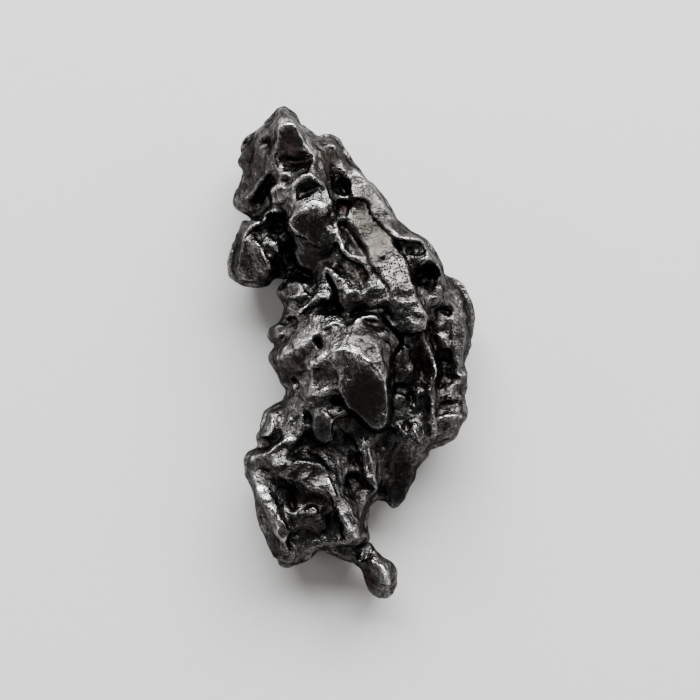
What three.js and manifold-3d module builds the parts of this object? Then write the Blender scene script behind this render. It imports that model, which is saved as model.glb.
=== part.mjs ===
// An iron meteorite fragment: a torn, knotted piece of metal, one solid.
//
// Frame: millimetres, +Z up. The long axis lies along Y, with the pointed head at +Y and the
// thin tail at -Y. The origin is the centre of the bounding box, on the plane that the four
// worn feet stand on.
//
// The body is worked out as a field, the distance to the surface at every point of a grid,
// and the skin is drawn where that distance is zero. Egg-shaped lumps and rough blocks melt
// into one another, ribs are laid over them, and dents are pressed into them. Everything is
// bent by the same slow waves, so nothing is a true ellipsoid or a true plane, as on metal
// that was torn while it was hot.

import * as THREE from 'three';
import { MarchingCubes } from 'three/addons/objects/MarchingCubes.js';
import { mergeVertices } from 'three/addons/utils/BufferGeometryUtils.js';
import Module from 'manifold-3d';

const wasm = await Module();
wasm.setup();

// ---- Driving dimensions ------------------------------------------------------------------

const LENGTH = 54.5; // overall, head to tail, along Y
const CELL = 1.12; // the grid's spacing, and so about the size of the skin's faces
const CELLS = 56; // cells along each side of the grid, which is a cube
const GRID_HEIGHT = 10.5; // height of the grid's middle above the ground
const WAVE_DEPTH = 0.3; // how far the slow waves move the surface
const WAVE_LENGTH = 5.6; // from crest to crest of the slow waves
const MELT = 1.5; // how softly the masses run together
const FACET_MELT = 0.5; // the same for the flat faces
const RIB_MELT = 0.6; // and for the ribs
const DENT_MELT = 0.35; // how round the rim of a dent is
const FOOT_DEPTH = 0.5; // how much of each foot is worn away to leave its flat
const FLANK_DENTS = 90; // dents spread over the flanks and the underside

// ---- The masses, region by region --------------------------------------------------------
// Each egg is [x, y, z, half-size x, half-size y, half-size z, turn about Z in degrees].

const HEAD = [
  [-6.6, 21.6, 9.8, 3.8, 4.2, 7.6, 0],
  [-10.2, 20.2, 6.8, 2.6, 5.0, 4.8, -6],
  [-11.4, 17.2, 6.6, 1.7, 2.1, 3.8, 0],
  [-7.4, 25.4, 9.6, 1.3, 2.0, 5.4, 0],
  [-9.3, 23.8, 7.0, 1.8, 2.2, 4.6, -40],
  [-3.8, 19.2, 9.4, 3.0, 4.6, 8.0, 0],
];
const BAND = [
  [2.0, 16.0, 8.2, 1.9, 6.2, 6.6, 37],
  [-0.7, 19.8, 8.0, 1.4, 2.9, 6.6, 30],
  [5.6, 12.4, 8.2, 1.9, 3.2, 6.8, 48],
  [8.0, 9.0, 8.2, 2.0, 3.9, 6.2, 14],
];
const STRIP = [
  [-3.5, 13.0, 9.2, 3.5, 5.2, 8.0, 0],
  [1.8, 10.5, 9.2, 4.0, 6.6, 6.9, 34],
  [5.0, 7.2, 9.4, 2.6, 5.0, 7.0, 34],
];
const LEFT_LOBE = [
  [-8.4, 13.0, 6.6, 2.6, 3.6, 5.2, 0],
  [-6.1, 7.2, 9.8, 2.0, 1.9, 5.4, 20],
  [-6.9, 4.7, 9.4, 1.3, 1.4, 5.0, 0],
  [-8.1, 2.4, 8.8, 1.4, 1.7, 4.8, -20],
];
const MIDDLE = [
  [-4.6, 5.0, 9.0, 3.4, 4.4, 7.0, 0],
  [-0.2, 2.5, 9.4, 4.8, 5.2, 8.4, 0],
  [0.8, -3.3, 9.4, 3.6, 5.0, 8.8, 10],
  [-4.6, -1.0, 9.2, 4.1, 3.4, 7.6, 10],
  [-3.2, -5.2, 8.6, 3.2, 4.2, 6.8, 0],
  [6.0, -1.0, 6.6, 3.8, 6.8, 6.6, 0],
  [8.6, 4.6, 6.0, 2.2, 3.4, 5.2, 0],
];
const RIGHT_WING = [
  [11.0, 5.6, 4.8, 1.9, 3.0, 4.6, 12],
  [9.1, -3.4, 5.6, 2.1, 6.2, 6.0, 0],
  [6.0, -8.6, 5.4, 2.9, 3.5, 5.2, 0],
  [4.4, -11.0, 4.6, 2.2, 2.8, 4.2, 0],
];
const LOWER = [
  [-1.6, -9.6, 6.2, 4.0, 4.8, 5.6, 0],
  [1.2, -13.2, 6.0, 2.0, 4.4, 5.0, 0],
  [-4.6, -14.0, 7.6, 4.0, 3.8, 6.6, 0],
  [-9.6, -12.6, 7.4, 2.1, 2.0, 5.4, 0],
  [-9.5, -15.6, 7.0, 1.4, 3.5, 5.2, 8],
  [-8.1, -19.4, 6.6, 1.7, 4.2, 5.2, 18],
  [-6.8, -21.6, 6.0, 1.9, 2.2, 4.0, 0],
  [-4.0, -18.2, 6.0, 3.4, 3.8, 5.0, 0],
  [-0.4, -18.0, 6.8, 1.7, 4.2, 5.6, 16],
];
const LEFT_SPUR = [
  [-8.5, -8.0, 6.8, 1.5, 2.2, 4.8, -14],
  [-6.0, -7.4, 7.4, 1.4, 3.4, 5.2, -30],
  [-7.6, -10.2, 7.0, 2.1, 1.3, 5.0, 35],
];
const TAIL = [
  [1.8, -22.2, 5.4, 1.4, 2.8, 3.6, 36],
  [3.6, -24.8, 5.0, 1.4, 2.5, 3.9, 8],
];
const FEET = [
  [-7.4, 20.4, 3.2, 3.3, 4.2, 3.2 + FOOT_DEPTH, 0],
  [3.6, 12.2, 3.4, 3.0, 3.6, 3.4 + FOOT_DEPTH, 30],
  [9.0, -3.6, 2.8, 2.6, 3.8, 2.8 + FOOT_DEPTH, 0],
  [-6.2, -16.4, 3.2, 3.3, 3.8, 3.2 + FOOT_DEPTH, 0],
];

// Blocks have square shoulders: [x, y, z, half x, half y, half z, turn about Z].
const BLOCKS = [
  [-10.7, 11.3, 6.6, 2.5, 3.4, 5.2, -6], // the square lobe below the head
  [11.2, 2.4, 5.0, 1.6, 4.6, 4.6, 3], // the upright slab on the right, upper part
  [10.8, -5.3, 4.6, 1.6, 4.0, 4.2, -3], // and its lower part
  [5.2, -12.9, 3.2, 1.3, 4.2, 2.4, -26], // the thin plate low on the right
];

// Flat faces, with the metal under them. The bar and the tooth stand out most.
// Each facet is [x, y, z of the face's centre, heading and angle of its lean, half width,
// half length, depth, turn in its own plane].
const FACETS = [
  [4.0, 9.4, 16.9, 10, 14, 1.5, 3.1, 2.2, 34], // the pitted bar
  [1.3, 13.4, 16.4, 20, 16, 1.3, 2.6, 2.2, 34], // the bar's upper end
  [3.2, 15.6, 15.0, 30, 22, 1.0, 2.8, 2.2, 36], // the band outside the bar
  [1.0, 18.6, 15.2, 15, 20, 1.3, 2.4, 2.2, 42],
  [-6.2, 22.6, 17.9, 184, 27, 1.7, 2.4, 2.6, 14], // the hollow-cheeked face of the head
  [-4.3, 14.0, 18.0, 190, 24, 2.1, 1.6, 2.6, -12],
  [-4.7, 17.9, 17.3, 186, 26, 1.4, 1.1, 2.0, -8],
  [1.0, 1.8, 18.9, 12, 16, 2.6, 2.2, 3.0, -10], // the crown of the middle
  [2.9, 0.2, 18.3, 55, 24, 1.5, 2.3, 2.8, 12],
  [-0.6, 3.2, 17.6, 345, 28, 1.9, 1.1, 2.4, 16],
  [-5.0, 2.8, 16.4, 350, 20, 2.0, 1.0, 2.0, 24],
  [-5.9, -1.2, 15.2, 196, 30, 2.2, 1.6, 2.4, 14],
  [-4.9, -13.2, 13.9, 10, 12, 2.2, 1.0, 2.0, -8],
];
const TOOTH = [1.5, -3.6, 17.7, 2.15, 4.3, 2.4, 17];
const TOOTH_ROOT = [-1.0, -1.6, 17.4, 1.9, 1.5, 2.2, 20];

// ---- Ribs --------------------------------------------------------------------------------
// Each rib runs through its points: [x, y, z, radius there].

const RIBS = [
  // the brow round the head's hollow cheek
  [[-7.9, 22.4, 16.4, 0.5], [-7.7, 24.0, 17.7, 0.6], [-6.6, 24.8, 18.5, 0.7],
    [-5.4, 23.8, 18.2, 0.6], [-4.3, 21.7, 17.3, 0.5]],
  [[-6.1, 18.1, 16.9, 0.45], [-4.8, 19.1, 18.0, 0.6], [-3.1, 18.0, 17.7, 0.5]],
  [[-6.6, 14.3, 17.1, 0.45], [-5.2, 12.7, 16.3, 0.4], [-3.0, 11.8, 15.4, 0.4]],
  // the crooked crest between the hollow and the bar
  [[-1.6, 14.1, 16.6, 0.4], [-1.1, 11.7, 16.7, 0.45], [0.6, 10.0, 16.4, 0.5],
    [2.2, 8.5, 16.2, 0.4], [3.8, 6.8, 16.2, 0.4], [4.1, 5.6, 16.2, 0.45]],
  // the square lobe's diagonal crest
  [[-10.8, 12.5, 12.3, 0.5], [-9.6, 10.4, 12.3, 0.6], [-8.9, 9.2, 11.7, 0.5]],
  // the brow over the left cheek
  [[-8.3, -0.4, 14.0, 0.7], [-6.2, 0.7, 16.0, 0.65], [-4.2, 1.8, 16.9, 0.5]],
  // the tooth's brow
  [[-4.6, -2.1, 15.8, 0.5], [-2.7, -0.3, 18.0, 0.7], [-0.4, -0.1, 19.3, 0.7],
    [1.7, -1.2, 19.4, 0.5], [3.3, -3.2, 18.9, 0.4]],
  // the rim on the right corner
  [[4.6, 13.2, 15.1, 0.45], [6.6, 12.5, 15.5, 0.45], [8.4, 11.2, 15.1, 0.5],
    [9.7, 9.2, 14.3, 0.5]],
  // the wing's long wavy fin
  [[7.2, 2.4, 12.0, 0.6], [8.7, 0.0, 11.5, 0.6], [9.1, -2.4, 11.5, 0.6],
    [8.8, -5.6, 11.0, 0.6], [9.0, -8.4, 8.9, 0.6]],
  [[9.5, -7.0, 9.3, 0.45], [11.0, -6.8, 9.6, 0.5], [12.4, -7.0, 8.9, 0.5]],
  // ribs round the lower hollow
  [[-11.2, -12.0, 11.1, 0.85], [-9.2, -10.8, 12.8, 0.65], [-6.2, -8.9, 13.2, 0.5]],
  [[-11.1, -12.6, 11.0, 0.6], [-10.2, -15.6, 12.0, 0.6], [-8.9, -17.8, 12.1, 0.6],
    [-7.3, -20.4, 11.4, 0.65]],
  [[-7.6, -13.4, 13.0, 0.45], [-5.0, -14.4, 14.2, 0.5], [-1.8, -15.5, 13.3, 0.45]],
  [[-1.4, -16.6, 11.7, 0.6], [-0.4, -18.9, 12.3, 0.75], [0.7, -20.4, 11.6, 0.7]],
  [[0.9, -8.8, 11.2, 0.5], [1.5, -12.0, 10.8, 0.5], [2.2, -15.2, 9.8, 0.5]],
  // the tail's crest
  [[3.2, -22.9, 8.2, 0.6], [4.0, -24.6, 8.4, 0.65], [4.1, -25.8, 7.6, 0.5]],
];

// ---- Dents -------------------------------------------------------------------------------
// Each dent is an egg cut away: [x, y, z of its deepest point, heading and angle that it
// opens toward, half width, half length, half depth, turn in its own plane].

const DENTS = [
  [-5.6, 20.6, 14.8, 170, 20, 1.9, 1.2, 2.0, 10],
  [-9.6, 17.8, 11.4, 270, 15, 1.1, 2.2, 2.0, 20],
  [-0.9, 18.4, 13.8, 260, 16, 0.7, 2.0, 2.0, 14],
  [-8.1, 10.1, 10.0, 200, 20, 0.9, 1.2, 1.8, 0],
  [-8.0, 14.4, 10.8, 190, 20, 1.1, 1.1, 2.0, 0],
  [-5.4, 10.8, 12.2, 200, 20, 1.8, 2.2, 3.0, 20],
  [-3.2, 10.6, 13.4, 185, 14, 1.6, 1.4, 2.6, 0],
  [0.4, 12.4, 14.9, 60, 10, 0.8, 2.2, 1.6, 28],
  [7.0, 11.6, 13.0, 190, 22, 1.3, 0.8, 1.8, 10],
  [8.4, 8.8, 11.4, 180, 14, 1.4, 1.3, 2.6, 0],
  [5.6, 3.3, 12.4, 180, 25, 1.4, 0.8, 2.2, 0],
  [-1.5, 6.6, 12.4, 180, 10, 0.5, 2.2, 4.0, 14],
  [4.9, 0.9, 12.6, 90, 10, 0.55, 3.0, 3.4, 12],
  [2.6, 3.1, 16.4, 180, 10, 1.3, 0.6, 1.8, 0],
  [-1.4, -4.9, 13.8, 180, 10, 1.0, 0.8, 2.4, 20],
  [8.8, 1.6, 9.6, 230, 16, 0.7, 1.7, 2.0, 10],
  [10.1, -0.8, 6.4, 200, 10, 1.0, 1.4, 2.6, 20],
  [13.0, -1.0, 6.0, 90, 30, 0.9, 1.2, 1.4, 0],
  [10.9, -5.8, 7.0, 180, 14, 1.7, 0.6, 1.6, 8],
  [7.3, -3.8, 9.0, 190, 14, 1.0, 1.3, 2.2, 0],
  [4.0, -9.6, 7.8, 190, 10, 1.3, 1.4, 2.2, 0],
  [-1.6, -10.8, 8.8, 190, 8, 2.5, 1.8, 3.0, 0],
  [0.4, -13.6, 8.2, 190, 6, 0.8, 1.0, 2.0, 0],
  [-9.5, -12.9, 10.6, 190, 20, 1.2, 0.8, 1.8, 0],
  [-7.2, -15.7, 9.4, 180, 12, 1.7, 1.4, 2.6, 0],
  [-4.5, -16.2, 9.8, 180, 10, 2.4, 0.9, 2.6, -6],
  [-3.8, -19.4, 8.4, 180, 10, 1.6, 1.2, 2.4, 0],
  [-9.8, -9.9, 8.0, 190, 30, 0.7, 0.6, 1.8, 0],
  [-9.1, 23.2, 10.6, 300, 10, 0.7, 0.9, 1.4, -25],
  [-13.2, 11.4, 6.4, 270, 80, 1.6, 2.2, 0.8, 0],
];

// ---- The field ---------------------------------------------------------------------------

const skin = new MarchingCubes(CELLS, new THREE.MeshStandardMaterial(), false, false, 60000);
skin.isolation = 0;
const distances = new Float32Array(CELLS ** 3).fill(2 * CELL);

// A grid line's place along its axis, and the nearest grid line to a place.
const AXIS_MIDDLE = [0, 0, GRID_HEIGHT];
const place = (line, axis) => (line - CELLS / 2) * CELL + AXIS_MIDDLE[axis];
const lineAt = (along, axis) => (along - AXIS_MIDDLE[axis]) / CELL + CELLS / 2;

// Three slow sine waves, each running across the other two axes.
function wave(p, target) {
  const slow = (2 * Math.PI) / WAVE_LENGTH;
  return target.set(
    WAVE_DEPTH * Math.sin(slow * p.y + 1.3 * Math.sin(0.5 * slow * p.z)),
    WAVE_DEPTH * Math.sin(slow * p.z + 1.3 * Math.sin(0.5 * slow * p.x) + 2),
    WAVE_DEPTH * Math.sin(slow * p.x + 1.3 * Math.sin(0.5 * slow * p.y) + 4),
  );
}

// Joins a shape to the field, or presses it in, over the cells within reach of its centre.
// Where the two surfaces meet they run together over the melt's width.
function work(centre, reach, melt, shape, pressed) {
  const first = centre.toArray().map((c, axis) => Math.floor(lineAt(c - reach, axis)));
  const last = centre.toArray().map((c, axis) => Math.ceil(lineAt(c + reach, axis)));
  const point = new THREE.Vector3();
  const shift = new THREE.Vector3();
  for (let k = Math.max(0, first[2]); k <= Math.min(CELLS - 1, last[2]); k += 1) {
    for (let j = Math.max(0, first[1]); j <= Math.min(CELLS - 1, last[1]); j += 1) {
      for (let i = Math.max(0, first[0]); i <= Math.min(CELLS - 1, last[0]); i += 1) {
        point.set(place(i, 0), place(j, 1), place(k, 2));
        point.sub(wave(point, shift));
        const at = (k * CELLS + j) * CELLS + i;
        const old = pressed ? -distances[at] : distances[at];
        const other = shape(point);
        const blend = Math.max(melt - Math.abs(old - other), 0) / melt;
        const joined = Math.min(old, other) - 0.25 * melt * blend * blend;
        distances[at] = pressed ? -joined : joined;
      }
    }
  }
}

// Distance to an ellipsoid of these half-sizes about the origin, near enough.
function toEgg(p, half) {
  const near = Math.hypot(p.x / half.x, p.y / half.y, p.z / half.z);
  const steep = Math.hypot(p.x / half.x ** 2, p.y / half.y ** 2, p.z / half.z ** 2);
  return (near * (near - 1)) / (steep + 1e-6);
}

// Distance to a box of these half-sizes with rounded edges, about the origin.
function toBox(p, half, round) {
  const x = Math.abs(p.x) - half.x + round;
  const y = Math.abs(p.y) - half.y + round;
  const z = Math.abs(p.z) - half.z + round;
  const outside = Math.hypot(Math.max(x, 0), Math.max(y, 0), Math.max(z, 0));
  return outside + Math.min(Math.max(x, y, z), 0) - round;
}

// Distance to a straight bar whose radius changes evenly from one end to the other.
function toBar(p, start, end, startRadius, endRadius) {
  const run = end.clone().sub(start);
  const along = THREE.MathUtils.clamp(p.clone().sub(start).dot(run) / run.lengthSq(), 0, 1);
  const radius = THREE.MathUtils.lerp(startRadius, endRadius, along);
  return p.distanceTo(run.multiplyScalar(along).add(start)) - radius;
}

// The turn that leans Z toward a heading (clockwise from +Y) by an angle from straight up,
// after a turn about Z itself.
function lean(heading, angle, turn) {
  const h = THREE.MathUtils.degToRad(heading);
  const axis = new THREE.Vector3(-Math.cos(h), Math.sin(h), 0);
  const tip = new THREE.Quaternion().setFromAxisAngle(axis, THREE.MathUtils.degToRad(angle));
  const spin = new THREE.Quaternion().setFromAxisAngle(
    new THREE.Vector3(0, 0, 1),
    THREE.MathUtils.degToRad(turn),
  );
  return tip.multiply(spin);
}

// A shape in its own turned frame.
function turned(centre, spin, shape) {
  const back = spin.clone().invert();
  const local = new THREE.Vector3();
  return (p) => shape(local.copy(p).sub(centre).applyQuaternion(back));
}

function egg([x, y, z, halfX, halfY, halfZ, turn]) {
  const centre = new THREE.Vector3(x, y, z);
  const half = new THREE.Vector3(halfX, halfY, halfZ);
  const shape = turned(centre, lean(0, 0, turn), (p) => toEgg(p, half));
  work(centre, Math.max(halfX, halfY, halfZ) + 2 * CELL, MELT, shape, false);
}

function block([x, y, z, halfX, halfY, halfZ, turn]) {
  const centre = new THREE.Vector3(x, y, z);
  const half = new THREE.Vector3(halfX, halfY, halfZ);
  const shape = turned(centre, lean(0, 0, turn), (p) => toBox(p, half, 0.8));
  work(centre, half.length() + 2 * CELL, 0.6 * MELT, shape, false);
}

function facet([x, y, z, heading, angle, halfWidth, halfLength, depth, turn]) {
  const spin = lean(heading, angle, turn);
  const half = new THREE.Vector3(halfWidth, halfLength, depth / 2);
  const centre = new THREE.Vector3(0, 0, -depth / 2).applyQuaternion(spin);
  centre.add(new THREE.Vector3(x, y, z));
  const shape = turned(centre, spin, (p) => toBox(p, half, 0.35));
  work(centre, half.length() + 2 * CELL, FACET_MELT, shape, false);
}

function rib(points) {
  const curve = new THREE.CatmullRomCurve3(points.map(([x, y, z]) => new THREE.Vector3(x, y, z)));
  const steps = (points.length - 1) * 4;
  for (let i = 0; i < steps; i += 1) {
    const ends = [i / 4, (i + 1) / 4].map((along) => {
      const from = Math.min(Math.floor(along), points.length - 2);
      return THREE.MathUtils.lerp(points[from][3], points[from + 1][3], along - from);
    });
    const start = curve.getPoint(i / steps);
    const end = curve.getPoint((i + 1) / steps);
    const middle = start.clone().lerp(end, 0.5);
    const shape = (p) => toBar(p, start, end, ends[0], ends[1]);
    work(middle, start.distanceTo(end) / 2 + Math.max(...ends) + 2 * CELL, RIB_MELT, shape, false);
  }
}

function dent([x, y, z, heading, angle, halfWidth, halfLength, halfDepth, turn]) {
  const spin = lean(heading, angle, turn);
  const half = new THREE.Vector3(halfWidth, halfLength, halfDepth);
  const centre = new THREE.Vector3(0, 0, halfDepth).applyQuaternion(spin);
  centre.add(new THREE.Vector3(x, y, z));
  const shape = turned(centre, spin, (p) => toEgg(p, half));
  work(centre, Math.max(halfWidth, halfLength, halfDepth) + 2 * CELL, DENT_MELT, shape, true);
}

// The field at a point: the value at the nearest grid point.
function fieldAt(p) {
  const [i, j, k] = p.toArray().map((c, axis) => (
    THREE.MathUtils.clamp(Math.round(lineAt(c, axis)), 0, CELLS - 1)
  ));
  return distances[(k * CELLS + j) * CELLS + i];
}

// Shallow dents all round the flanks and below. They are spread along a spiral about the
// long axis, and each is pressed in where a line from outside first meets the metal.
function flankDents() {
  for (let i = 0; i < FLANK_DENTS; i += 1) {
    const along = LENGTH * ((i + 0.5) / FLANK_DENTS - 0.5);
    const round = i * 2.4;
    const outward = new THREE.Vector3(Math.sin(round), 0.3 * Math.sin(3.7 * i), -0.15 - Math.cos(round));
    if (outward.z < 0.35) {
      outward.normalize();
      const point = outward.clone().multiplyScalar(22).add(new THREE.Vector3(-1, along, 7));
      for (let step = 0; step < 22 / CELL && fieldAt(point) > 0; step += 0.5) {
        point.addScaledVector(outward, -0.5 * CELL);
      }
      if (fieldAt(point) <= 0 && point.z > 1.2) {
        const size = 1.3 + 0.7 * Math.sin(5.1 * i);
        const heading = THREE.MathUtils.radToDeg(Math.atan2(outward.x, outward.y));
        const angle = THREE.MathUtils.radToDeg(Math.acos(outward.z));
        point.addScaledVector(outward, -0.45);
        dent([point.x, point.y, point.z, heading, angle, size, 1.4 * size, 1.2 * size, 40 * i]);
      }
    }
  }
}

// ---- The meteorite -----------------------------------------------------------------------

[
  ...HEAD, ...BAND, ...STRIP, ...LEFT_LOBE, ...MIDDLE, ...RIGHT_WING,
  ...LOWER, ...LEFT_SPUR, ...TAIL, ...FEET,
].forEach(egg);
BLOCKS.forEach(block);
flankDents();
[TOOTH, TOOTH_ROOT].forEach(egg);
FACETS.forEach(facet);
RIBS.forEach(rib);
DENTS.forEach(dent);

// No grid point is left so near the surface that the skin would have needle-thin faces.
const LEAST = 0.06 * CELL;
distances.forEach((d, at) => {
  skin.field[at] = -Math.sign(d || 1) * Math.max(Math.abs(d), LEAST);
});
skin.update();

// The skin as a solid, in millimetres.
const faces = new THREE.BufferGeometry();
const corners = skin.positionArray.slice(0, skin.count * 3);
faces.setAttribute('position', new THREE.BufferAttribute(corners, 3));
faces.scale((CELL * CELLS) / 2, (CELL * CELLS) / 2, (CELL * CELLS) / 2);
faces.translate(0, 0, GRID_HEIGHT);

function solid(shape) {
  shape.deleteAttribute('normal');
  shape.deleteAttribute('uv');
  const welded = mergeVertices(shape, 1e-3);
  return new wasm.Manifold(new wasm.Mesh({
    numProp: 3,
    vertProperties: new Float32Array(welded.getAttribute('position').array),
    triVerts: new Uint32Array(welded.getIndex().array),
  }));
}

// The feet are worn flat on one plane: everything below it is cut away.
const ground = new THREE.BoxGeometry(80, 80, 10).translate(0, 0, -5);
const body = solid(faces).subtract(solid(ground));

// Gaps sealed in between lumps are metal, not air, so only the outer skin is kept.
const skins = body.decompose().sort((one, other) => other.volume() - one.volume());
const mesh = skins[0].getMesh();
const geometry = new THREE.BufferGeometry();
geometry.setAttribute('position', new THREE.BufferAttribute(mesh.vertProperties, 3));
geometry.setIndex(new THREE.BufferAttribute(mesh.triVerts, 1));
geometry.computeBoundingBox();
const size = geometry.boundingBox.getSize(new THREE.Vector3());
const middle = geometry.boundingBox.getCenter(new THREE.Vector3());
geometry.translate(-middle.x, -middle.y, 0);
geometry.scale(LENGTH / size.y, LENGTH / size.y, LENGTH / size.y);
geometry.computeVertexNormals();

const iron = new THREE.MeshStandardMaterial({
  color: 0x6f6b68,
  roughness: 0.38,
  metalness: 1.0,
});
const meteorite = new THREE.Mesh(geometry, iron);
meteorite.name = 'meteorite';

const part = new THREE.Group();
part.add(meteorite);
export default part;
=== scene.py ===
"""A torn fragment of an iron meteorite, lying flat on a pale table.

The fragment is one solid. Its upper side is a film stretched over crest and valley lines, its
flanks follow the rim, and its underside is a bumpy floor standing on four low feet. The three are joined in
one distance field, cut by splits and pits, and the skin of the field is meshed. Lengths in this file are
millimetres on the fragment, and are brought to metres in the frame's own box at the end.
"""

import dataclasses
import logging
import math
from dataclasses import dataclass
from enum import Enum

import bpy
import numpy as np
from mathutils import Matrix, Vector


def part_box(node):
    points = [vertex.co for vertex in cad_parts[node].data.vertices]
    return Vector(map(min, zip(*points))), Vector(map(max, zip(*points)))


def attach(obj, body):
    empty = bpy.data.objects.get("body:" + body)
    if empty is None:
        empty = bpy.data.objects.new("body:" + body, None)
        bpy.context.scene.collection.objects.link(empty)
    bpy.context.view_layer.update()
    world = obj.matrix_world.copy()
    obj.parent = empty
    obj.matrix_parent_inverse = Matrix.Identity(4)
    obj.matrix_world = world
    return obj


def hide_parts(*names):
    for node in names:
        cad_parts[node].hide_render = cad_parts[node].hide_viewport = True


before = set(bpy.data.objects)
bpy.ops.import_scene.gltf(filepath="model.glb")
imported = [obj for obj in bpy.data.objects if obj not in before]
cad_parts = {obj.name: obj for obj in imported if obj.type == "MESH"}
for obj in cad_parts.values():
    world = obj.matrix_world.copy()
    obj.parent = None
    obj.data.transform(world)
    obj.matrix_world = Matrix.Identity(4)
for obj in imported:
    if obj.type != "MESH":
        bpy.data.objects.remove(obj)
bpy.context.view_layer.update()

LOG = logging.getLogger("meteorite")

Point = tuple[float, ...]
Line = tuple[Point, ...]
Lines = tuple[Line, ...]
Edges = tuple[tuple[Line, float], ...]

# What keeps a division from nought, and a distance past everything.
TINY = 1e-12
FAR = 1e9

# The rim seen from above, round with the clock from the top: x, y, and the height where the flank starts.
RIM: Line = (
    (-7.4, 27.2, 9), (-6.4, 26.3, 9), (-5.5, 25.2, 9.5), (-4.2, 24.1, 9.5), (-3, 23.9, 9.5), (-2, 23.9, 9),
    (-1.3, 23.3, 9), (-0.6, 22, 9), (0.2, 20.8, 9.5), (1.8, 19.1, 10), (3.2, 17.5, 10), (4.2, 16, 10),
    (5.2, 14.5, 10), (6.3, 13.7, 9.5), (7.8, 12.6, 9.5), (9, 11.2, 9.5), (9.6, 10, 9.5), (10.2, 8.6, 9),
    (11, 8.4, 7.5), (12, 7.8, 7), (12.8, 6.6, 7), (13.2, 5, 7), (13.4, 3, 7), (13.3, 1.7, 7), (12.8, 0, 7),
    (12.5, -1.2, 7), (12.9, -2.2, 7.5), (12.7, -3.2, 7), (12.6, -5, 7), (12.5, -6.5, 7), (12.4, -8, 6.5),
    (11.7, -9.3, 6.5), (10.3, -10, 6.5), (9, -10.6, 6.5), (8.5, -11.5, 6), (7.4, -12.8, 5.5),
    (6.8, -14.5, 5.2), (6, -16.5, 5), (5.4, -17.3, 4.8), (4.6, -17.5, 4.5), (3.2, -16.6, 4.5),
    (1.8, -17.5, 6), (1.5, -19, 6.5), (2.1, -20.4, 6.5), (2.8, -21.6, 5.5), (3.6, -22.5, 5.5),
    (4.7, -23.2, 5.5), (5.2, -24.2, 5.5), (5.3, -25.8, 5), (4.8, -27, 4.8), (3.8, -27.6, 4.5),
    (2.5, -27, 4.5), (1.5, -25.4, 4.5), (0.9, -24.2, 4.5), (0, -23.5, 4.5), (-1.5, -22.9, 4.8),
    (-2.8, -22, 5), (-3.8, -22.3, 5.5), (-4.8, -23.2, 5.5), (-6, -23.7, 5.5), (-7.5, -24, 5.5),
    (-8.4, -22.9, 6), (-8.8, -21.3, 7), (-9.5, -19.8, 7.5), (-10.2, -18.2, 7.5), (-10.3, -17, 8),
    (-10.9, -15.3, 7.5), (-11.4, -13.6, 7), (-11.8, -12.2, 7), (-11.3, -11.1, 7.5), (-10.4, -10.7, 7),
    (-10.1, -10, 6.2), (-10.3, -9.3, 6.5), (-9.9, -7.9, 7.5), (-9.4, -6.6, 7.5), (-8.5, -5.8, 7.5),
    (-7.4, -5.4, 8), (-7, -4.5, 9), (-6.8, -3.9, 9), (-7.5, -2.8, 9), (-8.5, -1.2, 9), (-8.8, 0.2, 9.5),
    (-8.4, 0.9, 9), (-9.2, 1.9, 8), (-8.8, 3, 8), (-8, 3.6, 8), (-7.6, 4.5, 9), (-7.2, 5.4, 10),
    (-8, 6.7, 10), (-7.8, 7.4, 10), (-7, 8.4, 9.5), (-6.2, 9, 8), (-8.3, 8.2, 6), (-9.3, 7.7, 6.5),
    (-11, 7.6, 6.5), (-12.5, 7.8, 6.5), (-13.6, 8.7, 6), (-13.6, 9.5, 6), (-13.1, 11.5, 6),
    (-12.6, 13.5, 6.5), (-12.3, 14.9, 6.5), (-11.2, 15, 6.5), (-11.6, 15.3, 7), (-12.5, 16, 7), (-13, 17, 7),
    (-12.6, 18.5, 6.5), (-12.3, 20, 6.5), (-12.5, 21.5, 6.5), (-12, 23, 6.5), (-11, 24.3, 7),
    (-10, 25.3, 7.5), (-8.8, 26, 8), (-8, 27, 8.5),
)

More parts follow.
